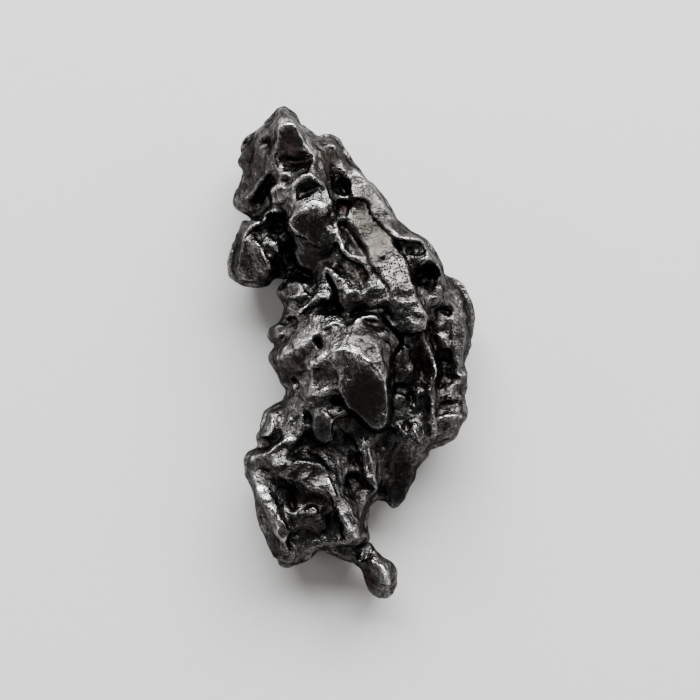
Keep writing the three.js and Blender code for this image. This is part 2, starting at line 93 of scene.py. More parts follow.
# The pointed head: its hooked brow, the dark cup under it, and the lumps and ribs below.
HEAD_LINES: Lines = (
    ((-7.9, 22.9, 15.6), (-8, 23.8, 16.4), (-7.4, 24.5, 17), (-6.4, 24.6, 17.2), (-5.8, 24.1, 17.1),
     (-5.3, 23.2, 16.8), (-4.9, 22.3, 16.4), (-4, 21.4, 16)),
    ((-8.2, 24.6, 15.2), (-7.2, 25.3, 15.9), (-6.3, 25.2, 16.1), (-5.4, 24.3, 16.2)),
    ((-8, 26.6, 12), (-7.3, 26.9, 12.5), (-6.8, 26.3, 13)),
    ((-7.8, 25.6, 14.4), (-6.9, 25.6, 15.3), (-6.1, 25.5, 15)),
    ((-7.4, 22.4, 15.3), (-6.2, 22.4, 15.9), (-5.4, 21.8, 15.6)),
    ((-7.5, 21.2, 13.8), (-6.5, 20.9, 13.6), (-5.4, 20.7, 13.8), (-4.4, 20.9, 14.8)),
    ((-8.2, 20.2, 14.2), (-7.6, 20.1, 14.4), (-6.8, 20, 14.4)),
    ((-8, 19.5, 15.1), (-7.4, 19.4, 15.3), (-6.8, 19.7, 15.1)),
    ((-7.8, 18.8, 14.6), (-7, 18.5, 14.3), (-6.4, 18.7, 14.9)),
    ((-8.3, 25.6, 12.5), (-8.4, 24.2, 14), (-8.15, 22.8, 14.9), (-8.2, 21.4, 14.7), (-8.4, 20.3, 14.2),
     (-9, 19.6, 13.2), (-10.2, 18.2, 11.6), (-10.9, 17.2, 10.8)),
    ((-9.9, 24.6, 11.2), (-10.4, 23, 11.2), (-10.7, 21, 10.8), (-11, 19, 10.2), (-11.3, 17.8, 10)),
    ((-9.5, 22.6, 11.6), (-9.15, 23, 11.2), (-8.85, 23.5, 12)),
    ((-10.2, 23.4, 12), (-9.8, 23.8, 12.2)),
    ((-9.7, 21.4, 12.3), (-9.4, 20.6, 12.4)),
    ((-11.9, 21.6, 8.9), (-11.5, 22.6, 9.3), (-11.1, 23.2, 9.2)),
    ((-11.9, 19.4, 9), (-11.5, 18.6, 9.6)),
    ((-10.3, 21.9, 11.5), (-10, 21, 11.6)),
    ((-10.6, 19.9, 11), (-10.2, 19.2, 11.2)),
    ((-11.3, 20, 9.4), (-11, 19.4, 9.8)),
    ((-9.4, 24, 12.3), (-8.8, 24.3, 12.4)),
    ((-11.2, 21.8, 9.4), (-10.9, 22.3, 9.7)),
    ((-11.5, 20.8, 8.9), (-11.2, 21, 9.2)),
    ((-8.6, 19.5, 11.8), (-9.2, 18.6, 10.2), (-9.7, 17.5, 9.2), (-10.2, 16.5, 8.6)),
    ((-12.3, 17.4, 9.2), (-11.4, 17, 10.4), (-11, 16.4, 9.6)),
    ((-11.2, 15.8, 8.2), (-10.4, 15.5, 8.2)),
    ((-8.7, 17.6, 13.6), (-8.2, 18.1, 14.4), (-7.4, 17.9, 14.9), (-6.9, 17.4, 15)),
    ((-8.6, 16.6, 13.2), (-7.7, 16.4, 15), (-6.8, 16.4, 14.6)),
    ((-8.3, 15.9, 12.6), (-7.5, 15.8, 13.6), (-6.8, 15.7, 14.2)),
    ((-6.25, 18.3, 15.9), (-6.15, 17.2, 15.9), (-6.2, 16, 15.9), (-6.5, 15.2, 16)),
    ((-6.1, 18.3, 16), (-5.5, 18.9, 16.8), (-4.9, 19.2, 17.2), (-4.3, 19, 17.3), (-3.7, 18.6, 17.2),
     (-3.2, 18.1, 16.9), (-2.8, 17.9, 16.6)),
    ((-6, 19.1, 15.4), (-5.2, 19.9, 15.8), (-4.6, 19.8, 16.4)),
    ((-5.7, 17.6, 15), (-5, 17.4, 14.9), (-4.3, 17.5, 15.2), (-3.6, 17.8, 15.8)),
    ((-5.6, 16.8, 14.8), (-4.9, 16.95, 15.3), (-4.3, 17.1, 15.5)),
    ((-4.5, 19.4, 17), (-4.1, 20.4, 16.2), (-3.8, 21.2, 15.8)),
    ((-3.4, 19.8, 15.6), (-3.3, 20.8, 15.3)),
    ((-3.6, 23.3, 12.8), (-2.8, 23.5, 12.4), (-2, 23.5, 12)),
    ((-2.7, 22.6, 13.8), (-2.1, 22.7, 14), (-1.6, 22.4, 13.6)),
    ((-4.4, 23, 14.8), (-3.6, 22.7, 14), (-3, 22.8, 13.2)),
    ((-3.2, 21.8, 14.8), (-2.9, 20.3, 15.4), (-2.7, 19.2, 15.6), (-2.4, 18.2, 15.9)),
    ((-2.2, 22, 13.4), (-1.4, 21.4, 13), (-0.7, 20.9, 12.8)),
    ((-2, 20.5, 13.6), (-1.5, 19.4, 12.9), (-1, 18.3, 12.4), (-0.6, 17.4, 12.4)),
    ((-2.2, 19.6, 14.2), (-2, 18.6, 14), (-1.8, 17.9, 14.2)),
    ((-1.9, 17.8, 14.4), (-1.3, 17.05, 14.9), (-0.6, 16.85, 14.8), (-0.1, 16.7, 14.4)),
    ((-1.3, 16.2, 13.8), (-0.7, 16, 13.7), (-0.1, 16.1, 13.7)),
    ((-1.4, 15.4, 13.8), (-0.7, 15.6, 13.8)),
)

# The rough collar under the head, its looped lobe and the smooth bowl of the neck.
COLLAR_LINES: Lines = (
    ((-5.8, 16.5, 16.4), (-4.9, 16.9, 16.7), (-4.2, 17.1, 16.7), (-3.4, 17.6, 16.6), (-2.4, 17.7, 16.2)),
    ((-5.3, 16.3, 16.9), (-5.05, 15.8, 17.6), (-5.15, 15.4, 17.2)),
    ((-4.5, 16.7, 16.7), (-4.3, 16.35, 17.2)),
    ((-3.5, 17.1, 16.9), (-3, 16.8, 16.5), (-2.6, 17.2, 16.8)),
    ((-2.2, 16.9, 16.2), (-2, 16.3, 16.6), (-2.1, 15.6, 16)),
    ((-6.2, 15, 16.9), (-5.5, 15.2, 17.3), (-4.9, 15.2, 17.5), (-4.5, 15.7, 17.4), (-4.1, 16.1, 17.3),
     (-3.7, 16.2, 17.2), (-3.3, 15.9, 17.3), (-3.05, 15.3, 17.3), (-2.9, 14.7, 17.1)),
    ((-1.9, 17.2, 15.2), (-1.6, 16.2, 15.4), (-1.65, 15.1, 15.5), (-2.2, 14.7, 16.1)),
    ((-2.7, 16.7, 16.7), (-2.5, 15.6, 17), (-2.4, 14.9, 17.1)),
    ((-6.7, 14.1, 16), (-6.2, 13.4, 15.7), (-5.4, 12.8, 15.4), (-4.7, 12.3, 15), (-4, 11.8, 14.7),
     (-3.2, 11.5, 14.6)),
    ((-6.5, 14.7, 16.3), (-6.7, 14.1, 16)),
    ((-5.6, 14.5, 16.4), (-4.9, 14.1, 16.2), (-4.5, 13.5, 15.8)),
    ((-4, 14.4, 16.4), (-3.4, 13.6, 15.5), (-3.6, 12.8, 15.1)),
    ((-2.8, 12.9, 15.2), (-2.1, 12.7, 15.5), (-1.5, 12.8, 15.9)),
    ((-2.4, 14, 15), (-1.9, 13.6, 14.9)),
    ((-2.6, 13.5, 15.5), (-2.1, 13.4, 15.6)),
    ((-6.8, 13.4, 14.2), (-6.2, 12.8, 14), (-5.4, 12.2, 13.8), (-4.6, 11.6, 13.6), (-3.8, 11.1, 13.5)),
    ((-5.8, 10.8, 12.2), (-5.5, 9.7, 11.8), (-4.6, 9.2, 11.8), (-3.8, 9.3, 12)),
    ((-4.4, 10.6, 12.6), (-3.2, 10.2, 12.8), (-1.9, 10.9, 13.6), (-1.5, 11.8, 14.4)),
    ((-6.9, 13.2, 10.6), (-6.7, 11.8, 9.8), (-6.6, 10.6, 9.4), (-6.2, 9.6, 9.2), (-5.2, 8.8, 9.6),
     (-4.3, 8.3, 10.2)),
    ((-6.3, 12, 12.2), (-6.2, 10.8, 11.6), (-5.9, 9.9, 11)),
)

# The square ear that stands out to the left of the neck.
EAR_LINES: Lines = (
    ((-12.1, 14.6, 9.6), (-11.9, 13.2, 10.4), (-12.1, 11.5, 10.2), (-12.3, 9.8, 9.6), (-12.6, 8.7, 8.8)),
    ((-11.7, 13.1, 11.1), (-11, 13.8, 11.5), (-10.2, 14.2, 11.6), (-9.6, 14.3, 11.4)),
    ((-11.6, 14.2, 10.4), (-10.6, 14.8, 10.4), (-9.8, 15, 10.5)),
    ((-11.2, 12.9, 10.2), (-10.6, 13.4, 10), (-9.8, 13.5, 10)),
    ((-11.7, 12.3, 10.8), (-10.9, 12.6, 11.1), (-10.3, 12.5, 11.6)),
    ((-9.8, 12.6, 10.6), (-9, 12.5, 11), (-8.4, 12.2, 11.4), (-8, 11.6, 11.4), (-7.9, 11, 11)),
    ((-10.4, 12.4, 11.8), (-10, 11.5, 12.1), (-9.5, 10.6, 12.1), (-9, 9.9, 11.9), (-8.7, 9.4, 11.5)),
    ((-9.4, 11.8, 10.9), (-8.8, 11, 10.7), (-8.4, 10.2, 10.2)),
    ((-8.2, 10.6, 9), (-7.7, 10, 8.4), (-8, 9, 8), (-8.5, 8.6, 7.8)),
    ((-7.6, 11.2, 10), (-7.2, 10.6, 9.6), (-7.2, 9.8, 8.8)),
    ((-11.2, 11, 10.2), (-11, 10, 9.9), (-10.3, 9.3, 9.7)),
    ((-10.4, 11.2, 10.9), (-10, 10.2, 10.6), (-9.5, 9.4, 10.2)),
    ((-9.8, 8.7, 9.4), (-9.2, 8.5, 9.9), (-8.85, 8.7, 9.5)),
    ((-12.6, 8.4, 8), (-11.2, 8.2, 8.6), (-9.8, 8.1, 8.4)),
    ((-9.4, 15.3, 11.4), (-8.7, 15.5, 12.3), (-8, 15.3, 12.5), (-7.5, 15.3, 12.8)),
    ((-8.8, 14.9, 10.2), (-8.2, 14.6, 9.8), (-7.4, 14.6, 10)),
    ((-8.6, 13.6, 9.6), (-7.8, 13.6, 9.3), (-7.2, 13.8, 9.8)),
    ((-10.3, 15.7, 8.8), (-9.3, 16.2, 10.2), (-8.8, 16.4, 11)),
    ((-9.2, 13.4, 10.4), (-9, 14.2, 10.6)),
)

# The left side of the middle: three knuckles and the long striped lump under them.
CHEEK_LINES: Lines = (
    ((-7.7, 8, 11), (-6.9, 8.8, 11.6), (-6.2, 8.9, 11.8)),
    ((-6.9, 7.7, 13.2), (-6, 7.8, 13.8), (-5, 7.6, 13.9), (-4.5, 7.5, 13.5)),
    ((-7.2, 6.2, 13.4), (-6.4, 6.1, 14.5), (-5.6, 6.3, 14.9), (-4.9, 6.4, 14.9), (-4.5, 6.8, 14.3)),
    ((-7, 5.8, 12.2), (-6, 5.5, 13), (-5, 5.3, 13.4), (-4.7, 5.8, 14)),
    ((-7.8, 6.9, 11.6), (-7.5, 6.8, 11.8)),
    ((-4, 8.1, 12), (-4.2, 7.2, 13), (-4.3, 6.4, 13.9)),
    ((-5.7, 4.4, 14), (-5.2, 4.85, 14.7), (-4.7, 5.4, 15.2), (-4.1, 6, 15.7), (-3.8, 6.4, 15.9)),
    ((-4.8, 4.7, 13.8), (-3.6, 4.9, 13.8), (-2.6, 5, 13.6), (-1.9, 5.1, 13.4)),
    ((-3.5, 5.7, 15.6), (-2.8, 5.6, 15.1), (-2.1, 5.6, 14.8)),
    ((-3.5, 8.2, 13.8), (-3.3, 7.6, 14.7), (-3.7, 6.8, 15.3)),
    ((-3.6, 6.2, 16), (-2.9, 6, 16), (-2.2, 6.2, 15.6), (-1.95, 6.9, 15)),
    ((-3, 8.4, 13.8), (-2.5, 7.8, 14.4), (-2.1, 7.1, 14.8), (-1.9, 6, 15), (-1.8, 5.2, 14)),
    ((-7.5, 4.8, 11.4), (-7, 5.15, 12.4), (-6.4, 4.9, 12.8)),
    ((-7.2, 4.2, 11.8), (-6.6, 4.1, 12.5), (-6.2, 4.3, 12.6)),
    ((-7.6, 3.7, 10), (-6.8, 3.65, 10.6), (-6.2, 3.7, 11.2)),
    ((-8.7, 2.9, 9.8), (-8, 3.3, 10.9), (-7.3, 2.9, 11.6)),
    ((-8.6, 1.9, 10.6), (-7.9, 1.9, 12), (-7.4, 2.2, 12.2)),
    ((-8.1, 1.1, 10.4), (-7.6, 1.6, 11), (-7.3, 1.9, 11.2)),
    ((-6.1, 4.1, 12.4), (-5.2, 4.2, 13.4), (-4.5, 4.3, 14.4), (-4, 4, 14.6)),
    ((-6.8, 3, 12), (-5.6, 3.2, 13.4), (-4.8, 3.4, 14.4)),
    ((-5, 2.6, 14.6), (-4.2, 2.8, 15.1), (-3.4, 3, 15.4), (-2.8, 3.1, 15.6)),
    ((-7, 1.4, 12.8), (-6, 2, 13.9), (-5.2, 2, 14.8)),
    ((-2.5, 4, 15), (-1.8, 4.15, 15.2), (-1.4, 3.9, 15.2)),
    ((-2.3, 3.3, 16), (-1.4, 3.4, 16.1)),
    ((-8.3, -0.5, 12.4), (-7.5, -0.2, 13.6), (-6.6, 0.3, 14.4), (-5.6, 0.8, 15.1), (-4.8, 1.2, 15.6),
     (-4.2, 1.8, 15.9), (-3.8, 2.2, 16)),
    ((-8.5, 0.2, 11.2), (-7.6, 0.8, 12.2)),
    ((-7.8, -1.4, 11.6), (-6.8, -1.4, 12.8), (-5.8, -1.3, 13.6), (-4.8, -1.2, 14.2)),
    ((-7.6, -2.4, 10.6), (-6.8, -2.8, 11), (-5.6, -2.4, 12.2), (-4.8, -2.6, 12.8)),
    ((-5.2, -0.2, 14.3), (-4.2, 0.2, 15), (-3.4, 0.5, 15.6)),
    ((-3.55, 1.8, 14.8), (-3.5, 1.2, 14.4), (-3.45, 0.8, 14.9)),
    ((-3.25, 1.8, 15.9), (-3.1, 1, 15.8)),
    ((-3.9, 1.4, 15.7), (-3.8, 0.9, 15.4)),
)

# Both sides of the open split, the wavy crest beside the strip and the striped bar.
SPLIT_LINES: Lines = (
    ((-2.6, 8.9, 13.6), (-2, 8.4, 14.6), (-1.5, 7.7, 15.3), (-1.35, 6.6, 15.6), (-1.4, 5.6, 15.1),
     (-1.2, 4.8, 14.4), (-0.9, 4.3, 14.2)),
    ((0, 4.4, 14.4), (1.2, 4.65, 14.6), (2.4, 4.9, 14.8)),
    ((-0.7, 3.9, 15.2), (0.6, 4.15, 15.4), (1.8, 4.45, 15.3), (2.8, 4.4, 15.1)),
    ((-2.7, 9.4, 14.2), (-2.2, 9, 14.9), (-1.8, 8.5, 15.4), (-1.5, 8.15, 15.7), (-0.8, 8.2, 15.5),
     (0, 8.2, 15)),
    ((-2.6, 10, 13.2), (-2, 9.9, 13.4)),
    ((-1.6, 9.3, 13.6), (-0.8, 9, 13.7)),
    ((-0.7, 10.1, 14), (-0.4, 9.2, 14.2), (0.2, 8.6, 14.4)),
    ((0.3, 9.4, 14.4), (1, 8.8, 14.5), (1.6, 8.3, 14.6)),
    ((0.4, 8.5, 14.6), (0.9, 8.4, 14.6)),
    ((-0.9, 7.4, 16.2), (-0.2, 7.3, 15.9), (0.4, 7.5, 15.3)),
    ((-0.6, 6.3, 16.7), (0.3, 6.7, 16.6), (1, 6.8, 16.3)),
    ((-0.3, 7, 16.2), (0.3, 7.3, 15.8), (1, 7.5, 15.1)),
    ((-0.9, 5.1, 15.2), (0.4, 5.1, 15.2), (1.6, 5.2, 15.1)),
    ((-1.1, 6, 16), (0, 5.9, 16.3), (1.2, 5.9, 16)),
    ((1.25, 7.2, 15.5), (1.7, 7.5, 15.9), (2.6, 7.8, 15.9)),
    ((1.4, 6.6, 15.9), (2.6, 6.9, 16.1), (3.5, 7.1, 16.2)),
    ((1.6, 5.7, 15.2), (2.8, 6, 15.6), (3.5, 6.3, 15.9)),
    ((2.1, 5.15, 15.2), (2.9, 5.5, 15.9), (3.5, 5.9, 16.4), (4.1, 5.9, 16.4), (4.2, 5.3, 15.9)),
    ((2.6, 5, 14.9), (3.4, 5.1, 15)),
    ((-1.7, 14.1, 15), (-1.45, 13.2, 15.8), (-1.25, 12.2, 16), (-0.9, 11.2, 16), (-0.4, 10.6, 15.9),
     (0.4, 10.1, 15.8), (1.2, 9.8, 15.7), (1.7, 9.5, 15.7), (2.1, 8.8, 15.7), (2.5, 8.1, 15.8),
     (3.1, 7.7, 15.9), (3.6, 7.2, 16.1), (3.85, 6.6, 16.3)),
    ((-0.9, 14, 13.4), (-0.3, 13.2, 13.9), (0.3, 12.4, 14.3), (0.8, 11.6, 14.6), (1.3, 11, 14.9),
     (1.7, 10.2, 15.2)),
    ((1.9, 9.7, 15.2), (2.3, 9, 15.3), (2.9, 8.2, 15.6), (3.6, 7.5, 15.8), (4.1, 6.8, 16)),
    ((-0.6, 11.6, 15.2), (0.2, 10.9, 15.2)),
    ((-2, 11.4, 14.6), (-1.4, 10.8, 14.3), (-0.8, 10.2, 14.2), (0.2, 9.7, 14.2), (1.1, 9.3, 14.3)),
)

# The highest part: the crown, its brow and the flat tooth that hangs from it.
CROWN_LINES: Lines = (
    ((-2.8, 1.2, 16.3), (-1.6, 1.6, 16.8), (-0.4, 1.9, 17.4), (0.6, 2, 17.8), (1.4, 1.9, 17.9)),
    ((-2.8, 2.4, 15.6), (-1.6, 2.8, 16), (-0.8, 3.2, 16.2)),
    ((0.4, 3.4, 16.8), (0.9, 3.85, 16.9), (1.6, 4.05, 16.7), (2.4, 4, 16.5), (3, 3.9, 16.1)),
    ((0.2, 3, 16.9), (0.9, 3, 16.8)),
    ((1.5, 3.5, 16), (2.2, 3.3, 15.6), (3.2, 3.3, 15.2), (3.7, 3, 15)),
    ((1.2, 2.6, 17.2), (2, 2.4, 17.3), (2.8, 2.4, 17.2), (3.6, 2.3, 16.8), (4.1, 2.2, 16.2)),
    ((2.4, 1.2, 18.2), (3, 0.2, 18.4), (3.4, -1, 18.4), (3.8, -2.2, 18)),
    ((4.1, 1.2, 16.8), (4.25, 0, 16.6), (4.2, -1.2, 16.8), (4.1, -2.6, 17.2)),
    ((4.4, 1.9, 14.9), (4.9, 1.6, 14.6), (5.35, 1.2, 14.2)),
    ((4.5, 0.8, 14.8), (4.9, 0.8, 14.6)),
    ((3, 1.4, 17.8), (3.6, 1, 17.4)),
    ((-4.9, -1.7, 14.4), (-4, -0.9, 15.8), (-3.1, -0.2, 16.9), (-2.2, 0.2, 17.6), (-1.2, 0.5, 18.2),
     (-0.2, 0.3, 18.6), (0.8, -0.1, 18.9), (1.7, -0.7, 19), (2.6, -1.6, 18.9), (3.3, -2.6, 18.6),
     (3.8, -3.6, 18.1)),
    ((-1.1, -1.9, 17.2), (-0.5, -1.3, 17.8), (0.3, -1, 18.2), (1.2, -1.1, 18.4), (1.9, -1.5, 18.4),
     (2.7, -2.3, 18.3), (3.3, -3.1, 18.1), (3.8, -4.2, 17.7), (4, -5.3, 17.2), (4, -6.4, 16.7),
     (3.75, -7.4, 16.2), (3.3, -8, 15.9), (2.7, -8.2, 15.8), (2.1, -7.8, 15.9), (1.4, -7, 16.1),
     (0.5, -6.2, 16.3), (-0.3, -5.6, 16.4), (-0.9, -4.7, 16.6), (-1.3, -3.7, 16.8), (-1.3, -2.7, 17)),
    ((0, -1.9, 17.8), (1, -3, 17.7), (2, -4.4, 17.3), (2.6, -6, 16.7), (2.8, -7.2, 16.2)),
    ((-0.4, -3.2, 17.1), (0.6, -4.8, 16.9)),
    ((-4.2, -2.2, 13.8), (-3.3, -1.8, 14.6), (-2.5, -1.8, 15.4), (-1.8, -2.2, 15.9)),
    ((-3.6, -1.2, 15.4), (-2.6, -0.8, 16.4), (-1.6, -1.1, 16.9)),
    ((4.45, -2.6, 13.6), (4.5, -4.4, 12.4), (4.5, -6.2, 11.6), (4.2, -7.8, 10.8), (3, -8.7, 10.4),
     (1.8, -8.5, 10.6), (0.6, -7.2, 11.6), (-0.4, -6.9, 12.8)),
)

# Below the tooth: the small tooth, the twin ribs and the gorge between the two halves.
GORGE_LINES: Lines = (
    ((-6.5, -3.5, 11.2), (-6, -3.9, 12), (-5.6, -4.1, 12.2)),
    ((-6.3, -3.1, 10.8), (-5.9, -3.5, 11.2)),
    ((-5.8, -2.8, 12.2), (-5.4, -3.1, 12.8), (-5.15, -3.6, 12.9)),
    ((-4.8, -3.3, 13.2), (-3.8, -3.1, 14), (-2.8, -2.9, 14.6), (-2, -2.9, 15.2)),
    ((-4.8, -4.6, 13.8), (-3.9, -4.3, 14.6), (-3, -4, 15.2), (-2.2, -3.8, 15.6), (-1.7, -3.7, 15.8)),
    ((-4.9, -5.5, 12.6), (-3.8, -5.3, 13.2), (-2.8, -5, 13.8), (-2.1, -4.6, 14.2)),
    ((-4.2, -6.1, 12.6), (-3.2, -5.8, 13), (-2.3, -5.5, 13.3)),
    ((-1.8, -5, 12.6), (-1.35, -4.8, 12.4), (-1, -5.3, 12.6)),
    ((-1.9, -6.8, 13.4), (-1.3, -6.5, 14), (-0.8, -6.3, 14.3), (-0.2, -6.3, 14.2), (0, -6.6, 13.6)),
    ((-1.9, -6, 13), (-1, -5.8, 13.2)),
    ((-3.2, -6.2, 13.6), (-2.6, -6.55, 13.9), (-2.2, -6.9, 13.8), (-2.1, -7.6, 13.4), (-2.1, -8.6, 12.8),
     (-2.3, -9.3, 12.4), (-2.9, -9.6, 12.2), (-3.5, -9.4, 12.3), (-3.9, -8.8, 12.6), (-4, -7.6, 13),
     (-4, -6.6, 13.3)),
    ((-1.75, -7.4, 12), (-1.7, -8.4, 11.2), (-1.8, -9.6, 10.4), (-2.8, -10.1, 10.2), (-3.9, -9.9, 10.4),
     (-4.5, -8.4, 11.4)),
    ((-0.8, -7.6, 11.6), (0.2, -7.8, 11), (0.8, -8.6, 10.4)),
    ((-4.4, -10.8, 10.2), (-3, -11, 10.2), (-1.6, -10.8, 9.8), (-0.6, -9.8, 9.7), (0.2, -9.2, 9.8)),
    ((-2.4, -12, 10.6), (-1.4, -12.2, 10.2), (-0.8, -12.6, 9.8), (0, -12.9, 9.6), (1.1, -13, 9.8)),
    ((0, -10.6, 9.6), (0.5, -10.1, 10), (1.1, -9.9, 10.4)),
    ((0.3, -11.2, 9), (0.6, -12.2, 8.8)),
    ((0.4, -13.5, 8.6), (0.6, -14.2, 8.5)),
    ((1.2, -8.9, 10.4), (1.3, -9.8, 11), (1.5, -11, 11), (1.7, -12.4, 10.8), (1.9, -13.6, 10.4),
     (2.4, -14.2, 10.2), (2.9, -14.7, 9.8), (2.5, -15.3, 9.2), (1.9, -15.7, 8.8)),
    ((1.7, -9.6, 10.7), (1.9, -11, 10.8), (2.2, -12.4, 10.6), (2.45, -13.4, 10.4), (2.7, -14.2, 10.1)),
    ((1.6, -10.4, 10.2), (1.75, -11.8, 10), (2.1, -13.2, 9.8)),
    ((2.8, -10, 9.4), (3.2, -11.6, 8.8), (3.4, -13.2, 8)),
    ((3.2, -9.2, 9.6), (4.2, -9, 9.2)),
    ((1.2, -14.8, 8.4), (2, -14.9, 8.6)),
    ((-1.2, -13.2, 10.6), (-0.8, -14.2, 10.2), (-0.4, -15.2, 9.8)),
    ((-0.2, -13.8, 8.8), (0.1, -14.8, 8.8)),
    ((0.6, -15.4, 8.6), (1, -14.4, 8.8)),
    ((2.6, -15.9, 6.4), (2.3, -16.6, 6)),
    ((1.8, -16, 9), (1.55, -16.8, 9.2), (1.3, -17.8, 9.2), (1.3, -18.6, 8.8)),
    ((0.9, -16.6, 9.6), (0.9, -17.6, 9)),
)

# The long flat strip down the right of the neck and the knob at its end.
STRIP_LINES: Lines = (
    ((-0.9, 15, 14.3), (0.1, 14.2, 14.9), (0.7, 13.3, 15.2), (1.2, 12.3, 15.5), (1.7, 11.4, 15.8),
     (2, 10.5, 16.1), (2.3, 9.5, 16.4), (3, 8.6, 16.7), (3.9, 7.6, 17), (4.3, 6.6, 17.2)),
    ((0.4, 15.6, 14.3), (1.2, 15.4, 14.4), (1.9, 14.8, 14.6), (2.7, 13.9, 14.8), (3.6, 12.9, 15),
     (4.5, 11.8, 15.3), (5.2, 11, 15.5), (5.8, 10.2, 15.7), (6.2, 9.2, 16), (6.5, 8, 16.3), (6.9, 6.8, 16.5)),
    ((-0.3, 15.4, 14.3), (0.4, 15.6, 14.3)),
    ((4.4, 5.9, 16.8), (5.2, 5.4, 16.6), (6.2, 5.6, 16.6), (7.2, 5.8, 16.3)),
    ((4.6, 4.4, 15.8), (5.3, 4.5, 16.1), (6.1, 4.2, 15.9)),
    ((4.5, 3.7, 14.9), (5, 3.2, 15), (5.6, 2.7, 15.1), (6.4, 2.4, 15.2), (7.2, 2.3, 15), (8, 2.7, 14.7),
     (8.5, 3.6, 14.5), (8.6, 4.4, 14.5)),
    ((6.9, 4.5, 16), (7.6, 4.6, 16.2), (8.2, 4.2, 15.6)),
    ((4.8, 4.9, 15.8), (5.6, 4.9, 16), (6.4, 4.8, 16)),
    ((5.4, 3.7, 15.5), (6.2, 3.4, 15.8), (7, 3.2, 15.9), (7.6, 3.5, 15.7)),
    ((6.6, 3.9, 15.4), (7.2, 4, 15.3)),
    ((5.5, 1.9, 12.8), (6.3, 1.75, 12.3), (7.2, 1.7, 12.2)),
    ((3.6, 4.4, 14.4), (4.2, 4.2, 14)),
    ((7.2, 7, 14.6), (7.6, 6, 14.6), (8.2, 5.4, 14.2)),
)

# The bright outer band, its scooped corner and the dark pit in it.
BAND_LINES: Lines = (
    ((-0.9, 20.5, 13), (-0.35, 19.4, 14), (0, 18.3, 14.8), (0.1, 17.3, 15.4), (0.2, 16.8, 15.6)),
    ((0.2, 16.8, 15.6), (1.3, 16.7, 15.2), (1.95, 16.3, 14.9), (2.1, 15.4, 14.9), (2.5, 14.7, 15)),
    ((0.3, 20.2, 13), (1.1, 19.6, 13.7), (1.8, 18.8, 14.1), (2.5, 17.8, 14.2), (3.3, 16.7, 14.3),
     (4.1, 15.5, 14.3), (4.7, 14.6, 14.2)),
    ((2.6, 14.6, 14.9), (3.3, 14, 15), (3.9, 13.5, 15.2), (4.4, 12.9, 15.3), (4.9, 12.4, 15.3)),
    ((4.2, 14.4, 14.4), (4.5, 13.6, 15), (4.9, 12.9, 15.3)),
    ((0.4, 16.25, 14.3), (1.3, 16.25, 14.4), (1.65, 15.8, 14.4)),
    ((2.1, 14.6, 14.6), (2.9, 13.75, 14.7), (3.55, 13.25, 14.8), (4.25, 12.5, 14.8), (4.85, 11.8, 14.6),
     (5.35, 11.2, 14.4), (5.95, 10.4, 14.2), (6.4, 9.6, 13.6)),
    ((5.1, 12.5, 15.2), (6, 12.55, 15.2), (6.9, 12.5, 15), (7.6, 12.3, 14.9), (8, 11.9, 14.8),
     (8.2, 11.3, 14.7), (8.1, 10.8, 14.7)),
    ((8.3, 11.2, 14.7), (8.7, 10.5, 14.9), (9.1, 10, 14.9), (9.6, 9.5, 14.4), (9.9, 8.6, 13.6)),
    ((5.6, 11.7, 13.7), (6.4, 11.7, 13.6), (7.2, 11.8, 13.6), (7.8, 11.7, 13.8)),
    ((5.9, 10.7, 13.9), (6.8, 10.5, 14.5), (7.4, 10.2, 14.9), (7.9, 10, 15.1), (8.4, 10.3, 15.1),
     (8.9, 10.1, 15)),
    ((6.2, 11.2, 13.2), (7.2, 11.1, 13.7), (7.9, 11, 14.2)),
    ((7.4, 9.3, 14.2), (7.7, 9.8, 14.9)),
    ((7.2, 8.6, 11.6), (8.2, 9.2, 10.6), (9.1, 9.2, 10.6), (9.5, 8.4, 10.8)),
    ((7.2, 8, 12), (8, 7.9, 11), (9.2, 7.9, 11)),
    ((8, 7.3, 12.4), (9, 7.4, 11.8), (9.8, 7.4, 11.6)),
    ((8.3, 6.3, 13.6), (9, 6.1, 13.8), (9.7, 6.3, 13.2)),
    ((8.5, 5.4, 13), (9.3, 5.3, 12.8), (9.9, 5.6, 12.2)),
    ((8.6, 4.8, 11.4), (9.4, 4.7, 10.6), (10.1, 4.9, 9.8)),
    ((6.9, 9, 12.4), (6.8, 8.2, 12.8), (7.1, 7.4, 13.6)),
    ((9.9, 7.4, 11.6), (10.1, 6.4, 11.4)),
)

